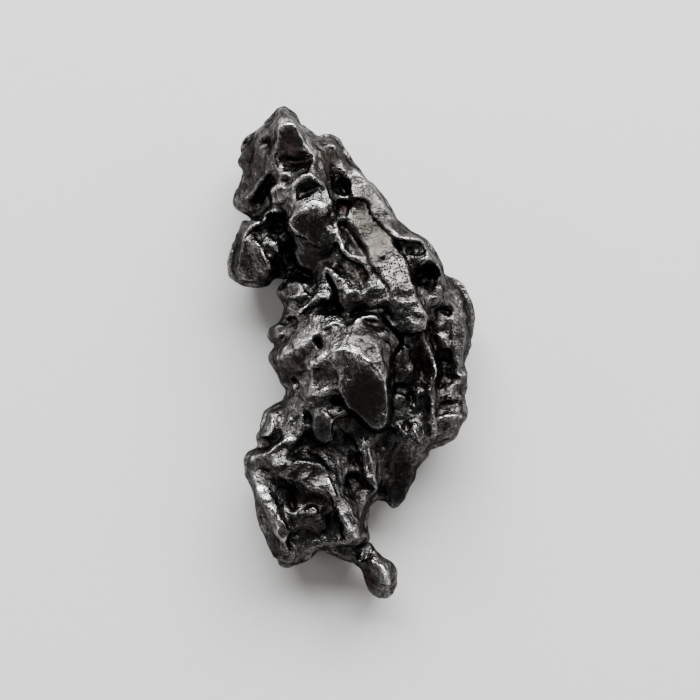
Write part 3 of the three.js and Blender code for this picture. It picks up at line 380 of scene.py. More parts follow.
# The right wing: the long fin, the recess beside it and the outer slab.
WING_LINES: Lines = (
    ((7.7, 1.9, 12.8), (8, 1.4, 12.7), (8.4, 0.8, 12.4), (8.8, 0, 12.1), (9, -1, 11.9), (9.3, -1.8, 11.7),
     (9.1, -2.8, 11.5), (8.6, -3.6, 11.3), (8.7, -4.6, 11.1), (8.9, -5.6, 10.9), (8.9, -6.6, 10.9),
     (9, -7.6, 10.7), (9.3, -8.6, 10.2), (9.3, -9.6, 9.2)),
    ((8.5, 3.4, 10.6), (8.9, 2, 10.2), (9.2, 0.8, 10), (9.35, 0.1, 9.8)),
    ((9.5, 4.2, 10.7), (9.6, 2.6, 10.8), (9.8, 1, 10.7), (10.4, 0.7, 10.7), (10.75, 0.9, 10.7)),
    ((9.6, 4.3, 10.7), (10.3, 4.2, 10.7), (10.7, 3.8, 10.7)),
    ((10.8, 7.9, 8.8), (11.1, 6.5, 10), (11.1, 4.6, 10.5), (11, 2.5, 10.6), (11.1, 0.5, 10.4),
     (11.4, -0.8, 10), (11.9, -1.7, 9.6)),
    ((11.7, 7.4, 8.6), (12.3, 5.8, 9.4), (12.5, 3.8, 9.8), (12.6, 1.8, 9.8), (12.4, 0.2, 9.6),
     (12.2, -1.2, 9.3)),
    ((12.7, 5.8, 7.8), (12.95, 4.8, 7.8), (13, 4, 8.2)),
    ((10.2, 4.7, 9.6), (10.75, 4.7, 9.4), (10.75, 4.3, 9.7)),
    ((9.6, 0.1, 9), (10.5, 0.35, 9), (10.9, -0.2, 9)),
    ((9.6, -0.8, 8.5), (10.4, -0.8, 8.4), (11, -1, 8.6)),
    ((9.9, -1.6, 8.6), (10.8, -1.8, 8.8)),
    ((11.5, -1.8, 9.4), (11.9, -2.35, 9.9), (12.5, -2.15, 9.9)),
    ((11.9, -1.9, 8.8), (12.3, -1.7, 8.8)),
    ((9.7, -2.4, 9), (9.6, -3.6, 8.6), (10.3, -3.2, 8.8)),
    ((10.2, -2.2, 8.6), (11.4, -2.8, 8.8), (12.4, -2.8, 9)),
    ((10.3, -4.2, 9.6), (11.2, -3.5, 9.5), (12.4, -3.3, 9.2)),
    ((9.9, -5.1, 9.7), (11, -5, 9.7), (12.3, -4.8, 9.2)),
    ((9.9, -5.7, 8.7), (11, -5.6, 8.5), (12.3, -5.3, 8.2)),
    ((9.7, -6.4, 9.2), (10.8, -6.1, 9.2), (12.2, -5.9, 9)),
    ((9.6, -7.05, 10), (10.4, -6.8, 10.2), (11.2, -6.65, 10.2), (12, -6.8, 9.9), (12.3, -7, 9.4)),
    ((9.6, -6.6, 9.2), (10.8, -6.35, 9.3), (12, -6.3, 9.1)),
    ((9.8, -8.2, 9), (11, -8.2, 9.3), (11.9, -8, 8.7)),
    ((9.8, -9.4, 8.2), (10.8, -9.3, 8.2), (11.8, -8.6, 7.9)),
    ((5.3, 0.5, 13), (5.8, 0.85, 13.5), (6.25, 0.4, 13)),
    ((4.7, -1, 12.2), (5.4, -0.4, 12.8), (6.3, -0.3, 12.8)),
    ((6.7, -1.2, 12.4), (6.3, -2.2, 12), (5.6, -3, 11.8), (4.8, -3.6, 11.5)),
    ((5.6, -0.8, 12.4), (5.2, -1.8, 12.2), (4.9, -2.6, 12)),
    ((6.3, 0.9, 12), (6.7, 1.7, 12.3), (7.2, 2.1, 12.4)),
    ((6.6, 0.1, 11.4), (7.3, 0.8, 11.6), (7.7, 0.6, 11.8)),
    ((6.9, -0.6, 10.8), (7.5, -1.4, 10.2), (8, -2.4, 10)),
    ((8.4, -0.6, 11.2), (8.6, -1.6, 10.8)),
    ((5, -4, 10.2), (6.2, -3.7, 10.2), (7, -3.2, 10.4), (7.6, -3, 10.2)),
    ((6.4, -4.4, 9.4), (6.8, -5.2, 9.4), (6.2, -6, 9.6)),
    ((7.4, -3.9, 11), (7.2, -4.8, 10.8), (6.9, -5.2, 10.2)),
    ((4.7, -4.5, 11.3), (5.5, -4.3, 11.3), (5.9, -5, 11.2)),
    ((4.8, -6.1, 10.7), (5.5, -6.1, 10.8)),
    ((6.5, -5.6, 10.6), (6.8, -5.7, 10.5)),
    ((7.9, -4.4, 10.2), (8, -5.6, 9.8), (7.6, -6.6, 9.6)),
    ((5, -7.3, 10.2), (5.3, -7.9, 10.9), (5.7, -8.6, 10.8)),
    ((6.1, -7.4, 9.6), (6.1, -8.4, 9.8)),
    ((6.4, -7.8, 10.4), (6.9, -8.3, 11.2), (7.2, -9, 11.1), (7.6, -9.8, 10.4)),
    ((7, -7.2, 9.8), (7.7, -7.8, 10), (8.2, -8.6, 9.6)),
    ((4.6, -9.8, 9.4), (5.3, -9.8, 9.9), (5.8, -9.9, 9.6)),
    ((4.2, -8, 9.6), (4.6, -8.8, 9.4)),
    ((5.2, -10.8, 8.6), (6.4, -10.4, 9)),
    ((8.4, -9.6, 8.6), (8.2, -10.4, 8)),
)

# The low shelf at the lower right.
SHELF_LINES: Lines = (
    ((3.8, -12.4, 7.8), (4.4, -12.9, 7.9)),
    ((8, -11.2, 7.2), (7.2, -12.6, 7), (6.6, -14.4, 6.7), (5.9, -16.2, 6.3), (5.2, -17.1, 5.8)),
    ((5.8, -12, 7.5), (5.2, -13.6, 7), (4.6, -15.4, 6.4), (4.3, -16.6, 5.9)),
    ((6.9, -11.6, 7.6), (6.2, -13.4, 7.2), (5.6, -15, 6.8)),
    ((4.8, -12.2, 7.9), (4.4, -13.8, 7.2), (3.9, -15.2, 6.5)),
    ((3.6, -14.4, 6.4), (3.2, -15.6, 5.6)),
)

# The left spur, the looped ridge and the outer ridge that runs down from it.
SPUR_LINES: Lines = (
    ((-6.9, -5, 10.4), (-6.8, -6.2, 11), (-6.9, -7.4, 11.1), (-7.1, -8.6, 11)),
    ((-5.7, -4.7, 11), (-5.4, -5.8, 11.8), (-5.2, -7.2, 12.1), (-5.3, -8.2, 12), (-5.8, -9.2, 11.8),
     (-6.4, -9.8, 11.6)),
    ((-4.8, -8.8, 10.4), (-5.4, -10, 10.2), (-6.4, -10.9, 10.4)),
    ((-6.2, -6, 11.2), (-6, -7.6, 11.4)),
    ((-4.9, -6.4, 11.4), (-4.7, -7.6, 11.2)),
    ((-9.3, -6.5, 9.3), (-8.7, -6.5, 9.6)),
    ((-10, -8.9, 10), (-9.4, -9.05, 10.5), (-8.9, -8.9, 10.7), (-8.65, -8, 10.6), (-8.6, -7, 10)),
    ((-8.3, -7.2, 9.8), (-8.1, -8.2, 9.9), (-7.9, -9, 10)),
    ((-7.95, -6, 9.4), (-7.9, -6.8, 10.2), (-7.75, -7.3, 10.5)),
    ((-7.5, -6.4, 9.6), (-7.5, -7.4, 9.9)),
    ((-7.3, -7, 10.4), (-7.25, -7.7, 10.9), (-7.35, -8.5, 10.9)),
    ((-10.1, -9.4, 7), (-9.3, -9.5, 7.2), (-9, -10.1, 7.6)),
    ((-9.8, -10.4, 6.8), (-9.3, -10.4, 7.6)),
    ((-8.6, -9.4, 9.2), (-7.8, -9.3, 10.2)),
    ((-11.2, -11.8, 9.2), (-10.7, -11.25, 10.3), (-10.1, -10.95, 10.9), (-9.4, -10.85, 11.4),
     (-8.8, -10.5, 11.7), (-8.2, -10, 12), (-7.6, -9.6, 12.1), (-7, -9.2, 12.1)),
    ((-8.5, -11, 11.2), (-7.5, -10.4, 11.4)),
    ((-8.7, -11.7, 11.8), (-8.1, -12.3, 12.3), (-7.5, -12, 12.3), (-7.2, -11.2, 11.9)),
    ((-11, -12.6, 9.4), (-10, -12.7, 9.6), (-9.1, -13, 9.6)),
    ((-9.6, -11.9, 10.2), (-9, -12.2, 10.6)),
    ((-11.2, -12.8, 9.3), (-10.9, -13.8, 10), (-10.4, -14.6, 10.7), (-10.2, -15.6, 11.2), (-9.8, -16.3, 11.3),
     (-9.2, -16.8, 11.4), (-8.8, -17.3, 11.4), (-8.5, -17.9, 11.3), (-8.2, -18.6, 11.2), (-8, -19.4, 11),
     (-7.6, -20.1, 10.8), (-7.2, -20.5, 10.4)),
    ((-9.9, -13.6, 10), (-9.2, -14.6, 10.7), (-8.6, -15.8, 11), (-8, -17, 11.1), (-7.4, -18.4, 11),
     (-6.8, -19.6, 10.7)),
    ((-8.7, -13.9, 10.2), (-8.3, -14.9, 10.1), (-7.7, -16.2, 10), (-7.1, -17.4, 9.9), (-6.4, -19, 9.4)),
    ((-8.1, -14.9, 9.6), (-7.6, -15.6, 9.9), (-7.2, -16.4, 9.4)),
    ((-7.6, -16.7, 10.2), (-7.2, -17.2, 10.4), (-6.9, -17.9, 9.8)),
    ((-7.8, -21.4, 9.6), (-6.8, -21.8, 9.4)),
    ((-8.1, -22.6, 8), (-7, -23, 7.8), (-6.2, -22.4, 8.4)),
    ((-6.6, -20.8, 8.2), (-6, -21.6, 7.6)),
)

# The lower basin, the shelf of rock over it and the slanting rib.
BASIN_LINES: Lines = (
    ((-6.9, -12, 12.2), (-5.8, -11.6, 12.6), (-4.4, -11.8, 12.7), (-3.2, -12, 12.5), (-2.7, -12.4, 12.3)),
    ((-8, -13.1, 11.8), (-7.2, -13.4, 12.2), (-6.4, -13.6, 12.4), (-5.4, -13.8, 12.6), (-4.8, -14.1, 12.7),
     (-4, -14.4, 12.7), (-3.2, -14.5, 12.7), (-2.4, -14.9, 12.5)),
    ((-7.2, -12.7, 12.1), (-6.2, -12.9, 12.3), (-5, -13, 12.4), (-3.6, -13.3, 12.5)),
    ((-2.9, -13.1, 11.8), (-2.5, -13.4, 12.4), (-2.2, -13.9, 12.7), (-1.95, -14.5, 12.8), (-1.8, -15.1, 12.8),
     (-1.7, -15.7, 12.4)),
    ((-2, -13.3, 11.4), (-1.6, -14.2, 11.4), (-1.3, -15.2, 11.4)),
    ((-7.4, -14.4, 9.8), (-6.9, -15.2, 9.3), (-6.5, -16.2, 9), (-6.4, -17, 9.4)),
    ((-5.8, -15.2, 10.4), (-4.6, -15.7, 10.2), (-3.4, -15.9, 10.3), (-2.4, -16.2, 10.6)),
    ((-5.3, -16.5, 9.8), (-4.6, -16.3, 9.9), (-3.6, -16.7, 9.9)),
    ((-4.6, -17, 11), (-4, -16.6, 11.5), (-3.7, -16.9, 11.2)),
    ((-5.2, -17.5, 10.8), (-4.5, -17.5, 11.4), (-3.6, -17.6, 11.2)),
    ((-5, -18.4, 9.4), (-3.8, -18.5, 9.2)),
    ((-6.9, -17.3, 9.8), (-6.3, -17.6, 10.6), (-5.8, -18, 10)),
    ((-6.7, -18.3, 9.8), (-6.2, -18.9, 10.2), (-5.7, -18.8, 9.6)),
    ((-6.2, -20, 8), (-5, -19.6, 7.8), (-3.6, -20, 7.4), (-2.4, -19.4, 7.6), (-2.2, -18, 8)),
    ((-1.6, -16.2, 11.8), (-1.35, -17, 11.8), (-1.1, -17.8, 11.7), (-0.7, -18.5, 11.6), (-0.2, -19.1, 11.5),
     (0.2, -19.6, 11.4), (0.5, -20.2, 11.1), (0.9, -20.5, 10.4)),
    ((-0.2, -16.4, 11.4), (0.1, -17.2, 11.4), (0.5, -18.2, 11.1), (0.9, -19.2, 10.6), (1.15, -19.8, 9.8)),
    ((-1.7, -17, 10.8), (-1.4, -18.2, 10.6), (-0.8, -19.3, 10.5), (-0.2, -20.1, 10.3)),
    ((-2.1, -17.4, 9), (-1.8, -18.8, 8.2), (-1.2, -20, 8.2), (-0.6, -20.6, 8.8)),
    ((-1.6, -20.8, 8.2), (-0.6, -21, 8.8), (0.6, -21.05, 8.8)),
    ((1.35, -19.6, 8.4), (1.75, -19.9, 8.9), (2, -20.3, 8.4)),
    ((-2.8, -21, 7.6), (-1.9, -20.4, 8)),
    ((-4.2, -21.4, 7.4), (-3.2, -21.4, 7.2)),
)

# The tail and its curled end.
TAIL_LINES: Lines = (
    ((-1.4, -21.7, 6.2), (0.6, -21.7, 6.4), (1.8, -21.2, 6.6)),
    ((-2.2, -22, 6.2), (-1, -22.6, 6), (0.2, -23, 5.6)),
    ((0.4, -22.6, 7.2), (0.8, -22.95, 8), (1.4, -22.9, 7.6)),
    ((2.1, -22.4, 7.2), (2.35, -23, 8), (2.7, -23.6, 7.8)),
    ((0.8, -23.6, 5.8), (1.5, -24, 5.8), (2.2, -24, 6.2)),
    ((1.6, -22.3, 6.4), (1.8, -23.2, 6.4)),
    ((2.6, -21.9, 6.8), (3, -22.6, 6.8)),
    ((3.2, -22.9, 7.4), (3.7, -23.6, 8.4), (3.9, -24.3, 8.6), (4, -25, 8.4), (4.2, -25.7, 7.6)),
    ((2.5, -24.4, 6.8), (3, -25, 7.2), (3.6, -25.7, 7.2)),
    ((4.5, -24.2, 7.2), (4.6, -25.4, 6.6)),
    ((1.8, -24.8, 6), (2.5, -25.6, 5.8), (3.2, -26.3, 5.4), (3.9, -26.5, 5.2)),
)

SURFACE_LINES: tuple[Lines, ...] = (
    HEAD_LINES, COLLAR_LINES, EAR_LINES, CHEEK_LINES, SPLIT_LINES,
    CROWN_LINES, GORGE_LINES, STRIP_LINES, BAND_LINES, WING_LINES,
    SHELF_LINES, SPUR_LINES, BASIN_LINES, TAIL_LINES,
)


class Tool(Enum):
    """How a mark is left in the skin."""

    SPLIT = "a narrow slot with upright walls"
    PIT = "an egg-shaped hollow"


@dataclass(frozen=True)
class Mark:
    """One cut into the fragment.

    Args:
        tool: how it is cut.
        points: the line of a split as x, y, or the middle of a pit as x, y, z.
        size: a split's width and depth, or a pit's half sizes.
        turn: the angle of a pit about the upright axis, in degrees.
    """

    tool: Tool
    points: Line
    size: Point
    turn: float = 0.0


MARKS: tuple[Mark, ...] = (
    Mark(Tool.SPLIT, ((-2.9, 8.9), (-2.25, 7.9), (-1.8, 7), (-1.62, 6), (-1.5, 5.2), (-1.2, 4.4),
                      (-0.9, 4)), (0.42, 4)),
    Mark(Tool.SPLIT, ((-0.9, 4.1), (0, 4.3), (1.2, 4.5), (2.3, 4.6), (3, 4.75)), (0.16, 1)),
    Mark(Tool.SPLIT, ((3.2, 4.3), (4, 3.2), (4.6, 2.6), (5.3, 1.8), (5.4, 1), (4.9, 0.3), (4.5, -0.5),
                      (4.25, -1.7)), (0.32, 3)),
    Mark(Tool.SPLIT, ((4.25, -1.7), (4.3, -3.2), (4.4, -4.2)), (0.2, 2)),
    Mark(Tool.SPLIT, ((2.2, 10), (3, 10.2), (3.8, 10.3), (4.4, 10.8), (5.2, 10.9)), (0.2, 0.9)),
    Mark(Tool.SPLIT, ((-1.9, 17.2), (-1.75, 16), (-1.85, 14.9)), (0.2, 1)),
    Mark(Tool.SPLIT, ((0, 16.6), (1.2, 16.6), (1.8, 16.1), (1.95, 15.3), (2.4, 14.6), (3.2, 13.6),
                      (4.3, 12.6)), (0.22, 1)),
    Mark(Tool.SPLIT, ((4.3, 12.6), (4.8, 12), (5.4, 11.1), (6, 10.2)), (0.3, 1.2)),
    Mark(Tool.SPLIT, ((10.8, 3.4), (10.78, 2), (10.85, 0.8)), (0.2, 1.2)),
    Mark(Tool.SPLIT, ((12.3, 0.9), (12.5, 0), (12.3, -1.2)), (0.2, 1.2)),
    Mark(Tool.SPLIT, ((-3.6, 2.1), (-3.5, 1.3), (-3.42, 0.5)), (0.22, 1.4)),
    Mark(Tool.SPLIT, ((-4, 8.2), (-3.85, 7.4), (-4.2, 6.4)), (0.25, 1.2)),
    Mark(Tool.SPLIT, ((-7, 13.2), (-6.6, 12), (-6.5, 10.6), (-5.9, 9.4), (-4.9, 8.5)), (0.22, 1.2)),
    Mark(Tool.PIT, ((-7.6, 6.9, 12.2),), (0.28, 0.35, 0.8)),
    Mark(Tool.PIT, ((-7, 4.5, 12.5),), (0.25, 0.25, 0.7)),
)


@dataclass(frozen=True)
class Patch:
    """A soft oval patch on the upper side.

    Args:
        x: its middle across.
        y: its middle along.
        a: its half size across, before it is turned.
        b: its half size along.
        turn: its turn in degrees.
        amount: its strength in the middle, from 0 to 1.
    """

    x: float
    y: float
    a: float
    b: float
    turn: float
    amount: float


def patches(*rows: Point) -> tuple[Patch, ...]:
    """Make a patch of each row of its six numbers."""
    return tuple(Patch(*row) for row in rows)


# Patches of painted light, where the skin is brighter than the rest.
PAINTED_LIGHT = patches(
    (1.9, 18.2, 0.8, 1.2, 36, 0.3), (4.6, 8.2, 1.7, 2.6, 36, 0.3), (7.2, 4.6, 1.3, 1.2, 0, 0.6),
    (-0.6, 1.2, 1.6, 0.9, 0, 0.4), (-3, -1, 1.6, 0.7, 40, 0.5), (-5.4, 2, 1.2, 1, 20, 0.5),
    (-9.2, -7.8, 0.8, 1.4, -10, 0.9), (-3, 6.8, 1, 1.2, 0, 0.6), (-2.6, 16, 1, 1.3, 0, 0.6),
    (-8, -11.7, 0.9, 0.8, 0, 0.6), (6.9, -8.4, 0.9, 1, 0, 0.6), (-3.3, -3.9, 1.6, 0.8, 18, 0.8),
    (-9.8, -15.4, 0.7, 1.6, -10, 0.2), (-5, 15.8, 0.9, 0.8, 0, 0.5), (3.9, -24.4, 0.4, 1, -6, 0.8),
    (-2, -14.4, 0.5, 1, 14, 0.7), (0, -19.4, 0.4, 0.7, 30, 0.5), (-7, 24.8, 1, 0.6, 0, 0.4),
    (8.2, 10.2, 1.2, 0.6, 20, 0.4), (11.9, 2, 0.7, 4.5, 0, 0.1), (-3.9, 16.1, 2, 1.3, 0, 0.5),
)
# Patches of painted shade, where it is darker.
PAINTED_SHADE = patches(
    (-3, 20.9, 1.3, 2.6, 16, 0.8), (-10.6, 20.8, 1.6, 3.6, 0, 0.6), (-6.5, 22.3, 1.2, 1.8, -16, 0.6),
    (-12.7, 11.6, 0.7, 3.4, 0, 0.5), (-4.6, 10.4, 2.6, 2, 0, 0.5), (-6.2, -1.2, 2.2, 1.2, 12, 0.6),
    (-2.8, -1.8, 1.4, 0.7, 20, 0.8), (6.8, -1.2, 2.4, 2.8, 0, 0.6), (5.8, -13.6, 1.9, 3.4, -14, 0.6),
    (10.6, -3.6, 1.6, 1.6, 0, 0.5), (8.6, 8.8, 1.2, 1.1, 0, 0.7), (-4.6, -9.6, 1.6, 1.4, 0, 0.4),
    (-4.6, -18.8, 2.2, 1.8, 0, 0.5), (3.6, -10.8, 1.4, 2, 0, 0.4), (2, -25.4, 1, 1.4, -30, 0.5),
    (-8.6, -21.6, 1.4, 1.8, 0, 0.5), (-4.6, 13.4, 2, 1.2, 0, 0.4), (12.4, 5, 1, 2.4, 0, 0.3),
    (-5.4, -12.7, 2.8, 1.2, 12, 0.9), (-1, 16, 1, 0.6, 0, 0.6), (2.9, 3.2, 1, 0.5, 0, 0.6),
    (-7, 10.4, 1, 2.2, 0, 0.6), (1.9, 1.4, 1.7, 2.4, -20, 0.75), (1.6, -4.6, 2, 3.4, 34, 0.5),
    (0.9, -15.4, 0.9, 1.8, 0, 0.8), (1.4, 13.2, 1.5, 3, 36, 0.75), (0.8, 8.6, 1.2, 0.8, 0, 0.7),
    (6.3, -14.6, 1.6, 3, -14, 0.5), (1.6, -24, 1.4, 2, -36, 0.5), (3, 13.4, 1.5, 3.4, 36, 0.5),
    (-0.8, -17.4, 0.8, 1.8, 20, 0.4), (-9.6, -14.8, 0.8, 2.2, -10, 0.3), (10.3, 4.4, 0.9, 0.9, 0, 0.5),
    (-8.4, 1.2, 0.9, 1.2, 0, 0.4), (-6.4, -2.6, 1.6, 0.8, 10, 0.5),
)
# Where it is stained brown.
STAINED = patches(
    (-6.4, 22.6, 1.4, 1.8, -20, 0.8), (-4.5, 14, 1.8, 0.9, 0, 0.7), (-0.8, 15.8, 1, 0.7, 0, 0.4),
    (1.4, -3.8, 2.2, 3.4, 30, 0.7), (7.8, -1.2, 1.1, 2.2, 8, 0.8), (8.9, 1.6, 0.7, 2, 0, 0.7),
    (1.2, 8.5, 1, 0.9, 0, 0.4), (0, 5.4, 1.6, 0.8, 0, 0.6), (-4.2, -16, 2.4, 0.8, -8, 0.7),
    (2.2, -25.4, 0.9, 1.2, -30, 0.7), (-6, -0.9, 1.8, 0.9, 10, 0.4), (6.6, 13.2, 1.4, 0.7, -30, 0.5),
    (-10.8, 21.4, 0.9, 1.8, 0, 0.5), (0.6, -12, 0.9, 1.6, 0, 0.5), (11.4, -3.8, 1.2, 1.1, 0, 0.5),
    (10.9, -8.2, 1.2, 1, 0, 0.4), (-2.6, 20.4, 0.8, 1.8, 0, 0.4), (2.6, 1, 1.2, 1.6, 0, 0.15),
)
# Painted highlights along the crest edges: x, y along each, and half the width of the highlight streak.
PAINTED_HIGHLIGHTS: Edges = (
    (((-7.9, 24.3), (-7.3, 24.9), (-6.4, 25), (-5.6, 24.5), (-5.1, 23.4), (-4.7, 22.3), (-4, 21.5)), 0.36),
    (((-8, 19.8), (-7.2, 20), (-6.7, 20.1)), 0.25),
    (((-8.1, 20.3), (-7.8, 21.4), (-7.9, 22.2)), 0.15),
    (((-6.3, 18.3), (-6.1, 17), (-6.3, 16)), 0.14),
    (((-2.3, 23.2), (-1.8, 22.8)), 0.4),
    (((-6, 18.3), (-5.4, 18.9), (-4.8, 19.2), (-4.2, 19), (-3.7, 18.6), (-3.1, 18)), 0.2),
    (((-4.6, 15.6), (-4.2, 16.2), (-3.6, 16.2), (-3.1, 15.4)), 0.18),
    (((-8.6, 17.5), (-8, 18.1), (-7.2, 17.9)), 0.15),
    (((-6, 15), (-6.7, 14.2), (-6.2, 13.5), (-5, 12.6), (-4.2, 11.9), (-3.2, 11.5)), 0.1),
    (((-10, 12), (-9.3, 10.8), (-8.7, 9.9), (-8.4, 9.5)), 0.28),
    (((-8.5, 12), (-7.9, 11.2)), 0.25),
    (((-11.5, 13.2), (-10.6, 14.2), (-9.8, 14.5)), 0.2),
    (((-8.9, 15.2), (-8.3, 15.6), (-7.6, 15.4)), 0.16),
    (((0.4, 20), (1.8, 19), (3.3, 17), (4.2, 15.4), (5.1, 14)), 0.3),
    (((4.3, 14), (4.7, 13.1), (5.3, 12.5), (6.3, 12.45), (7.3, 12.4), (7.9, 12), (8.2, 11.3)), 0.18),
    (((7.3, 9.7), (7.8, 10), (8.4, 10.2), (9, 10), (9.6, 9.3), (9.9, 8.5)), 0.2),
    (((-1.7, 14), (-1.4, 13), (-1.2, 12.2), (-0.9, 11.3), (-0.4, 10.6), (0.7, 9.9), (1.6, 9.5), (2.1, 8.7),
      (2.5, 8.1), (3.4, 7.4), (3.9, 6.4)), 0.15),
    (((-5.7, 4.4), (-4.9, 5.2), (-4, 6)), 0.16),
    (((-2.7, 9.3), (-1.9, 8.5), (-1, 8.3), (0, 8.3)), 0.15),
    (((-0.3, 6.8), (0.6, 7.3), (1.2, 7.5), (2.4, 7.9)), 0.14),
    (((2.2, 5.2), (3, 5.7), (3.9, 5.8)), 0.2),
    (((-7.8, -0.3), (-6.5, 0.5), (-5.5, 1.1), (-4.5, 1.5), (-3.9, 2.1)), 0.4),
    (((0.1, 3.3), (0.8, 3.8), (1.8, 3.95), (2.9, 3.9)), 0.16),
    (((-2.2, 3.6), (-1.4, 3.6)), 0.3),
    (((-4.8, -1.5), (-3.9, -0.8), (-3, -0.2), (-2, 0.2), (-1, 0.4), (0, 0.1), (1, -0.4), (2, -1.2),
      (3, -2.4)), 0.45),
    (((3.3, -2.8), (3.95, -4.2), (4.1, -5.4), (4, -6.6), (3.6, -7.8), (2.7, -8.2), (2, -7.8)), 0.09),
    (((-6.4, -3.7), (-5.5, -3.2)), 0.2),
    (((-4.3, -5.3), (-3.5, -4.7), (-2.6, -3.9)), 0.18),
    (((-2.6, -6.6), (-2.1, -7.2), (-2, -8.2), (-2.2, -9.4), (-3, -9.6)), 0.08),
    (((8.5, 0.8), (9, -0.4), (9.3, -2), (8.8, -3.6)), 0.14),
    (((8.8, -6.2), (8.8, -7.6), (9.3, -8.8)), 0.14),
    (((11.5, -1.8), (12, -2.3), (12.7, -2.2)), 0.18),
    (((9.6, -7), (10.6, -6.75), (11.5, -6.7), (12.4, -7)), 0.14),
    (((-11.2, -11.7), (-10.4, -11.2), (-9.6, -10.9), (-8.7, -10.5), (-7.9, -9.9), (-6.6, -9.1)), 0.22),
    (((-7.7, -13.1), (-6.6, -13.6), (-5.2, -13.9), (-4.4, -14.4), (-3, -14.6)), 0.13),
    (((-2.4, -13.5), (-2, -14.3), (-1.8, -15.3)), 0.25),
    (((-9.8, -14.6), (-8.9, -16.6), (-8.1, -18.4), (-7.3, -20.2)), 0.3),
    (((1.3, -9), (1.45, -10.6), (1.7, -12.6), (2.2, -14), (2.9, -14.8)), 0.08),
    (((1.9, -10.4), (2.2, -12.4), (2.6, -14)), 0.07),
    (((-0.9, -17.4), (-0.4, -18.4), (0.2, -19.4), (0.6, -20.1)), 0.26),
    (((3.3, -23), (3.8, -23.7), (4, -24.6), (4.1, -25.5)), 0.2),
    (((2.1, -22.5), (2.4, -23.1)), 0.2),
)
# Where it carries a sandy crust.
SANDY = patches(
    (2.4, 17, 1.2, 3.4, 36, 0.6), (4.6, 14.4, 0.9, 1.6, 36, 0.5), (0.9, 14.2, 1.2, 2, 36, 0.6),
    (3, 11.4, 1.5, 2.6, 36, 0.8), (4.9, 8, 1.5, 2.4, 30, 0.35),
)
# Where it is left smooth.
SMOOTH = patches(
    (1.8, -4.2, 2, 3.6, 34, 1), (-4.4, 10, 2.4, 1.6, 0, 0.8), (-6, -0.9, 2, 1, 12, 0.8),
    (2.1, -12, 0.8, 2.8, -14, 0.8), (11.4, 2.6, 1.5, 4.6, 0, 0.75), (2.6, 12, 1.4, 3.4, 36, 0.75),
    (4.8, 8.2, 1.4, 2.2, 36, 0.6), (1.9, 1.4, 1.6, 2.2, -20, 0.4), (2.6, 17.2, 1.3, 3.6, 36, 0.75),
    (-6.4, 22.4, 1.4, 2.4, -16, 0.8), (-3.1, -8, 0.8, 1.3, 0, 0.8), (0.2, 11.6, 0.9, 1.8, 30, 0.7),
    (5.6, -14, 1.4, 2.6, -14, 0.4),
)
# Where it is full of small pores.
PORED = patches(
    (4.7, 8.2, 1.8, 2.7, 34, 1), (-5.8, 14.8, 1.2, 1, 0, 0.4), (-7, 5.6, 1.2, 1.6, 0, 0.4),
)


def smooth_line(points: Line, per: int = 6) -> np.ndarray:
    """Carry a smooth curve through given points.

    Each stretch is the cubic p = (2b + (c-a)t + (2a-5b+4c-d)t^2 + (3b-a-3c+d)t^3) / 2 through its two ends b
    and c, with a and d the points before and after. The ends are mirrored past themselves.

    Args:
        points: the points of the line.
        per: steps on each stretch.

    Returns:
        The points of the curve, one row each.
    """
    p = np.array(points, dtype=float)
    if len(p) < 3:
        return p
    e = np.vstack([2 * p[0] - p[1], p, 2 * p[-1] - p[-2]])
    a, b, c, d = (e[i:len(e) - 3 + i][:, None, :] for i in range(4))
    t = np.linspace(0, 1, per, endpoint=False)[None, :, None]
    bend = 2 * a - 5 * b + 4 * c - d
    twist = 3 * b - a - 3 * c + d
    curve = 0.5 * (2 * b + (c - a) * t + bend * t * t + twist * t ** 3)
    return np.vstack([curve.reshape(-1, p.shape[1]), p[-1:]])


def four_round(film: np.ndarray) -> np.ndarray:
    """Sum the four neighbours of every place on a flat grid; past its border it is repeated."""
    wide = np.pad(film, 1, mode="edge")
    return wide[:-2, 1:-1] + wide[2:, 1:-1] + wide[1:-1, :-2] + wide[1:-1, 2:]


def evenly(points: np.ndarray, step: float) -> np.ndarray:
    """Place points along a line no further apart than a step.

    Args:
        points: the corners of the line, one row each.
        step: the widest gap, measured in plan.

    Returns:
        The points, linear between the corners.
    """
    gap = np.linalg.norm(np.diff(points[:, :2], axis=0), axis=1)
    way = np.concatenate([[0.0], np.cumsum(gap)])
    at = np.linspace(0, way[-1], max(2, int(way[-1] / step) + 1))
    return np.stack([np.interp(at, way, points[:, i]) for i in range(points.shape[1])], axis=1)


def box_blur(values: np.ndarray, reach: int, axes: tuple[int, ...]) -> np.ndarray:
    """Average an array over a window of 2 * reach + 1 cells on each named axis.

    The average is the difference of two running sums over the window's length.

    Args:
        values: the array.
        reach: cells on each side.
        axes: the axes to blur along.

    Returns:
        The blurred array, of the same shape.
    """
    for axis in axes:
        pad = [(reach + 1, reach) if i == axis else (0, 0) for i in range(values.ndim)]
        run = np.cumsum(np.pad(values, pad, mode="edge"), axis=axis, dtype=np.float64)
        size = run.shape[axis]
        window = 2 * reach + 1
        span = run.take(range(window, size), axis=axis) - run.take(range(0, size - window), axis=axis)
        values = (span / window).astype(np.float32)
    return values


def ease(t: np.ndarray) -> np.ndarray:
    """Ease from 0 to 1 with level ends: t * t * (3 - 2t)."""
    return t * t * (3 - 2 * t)


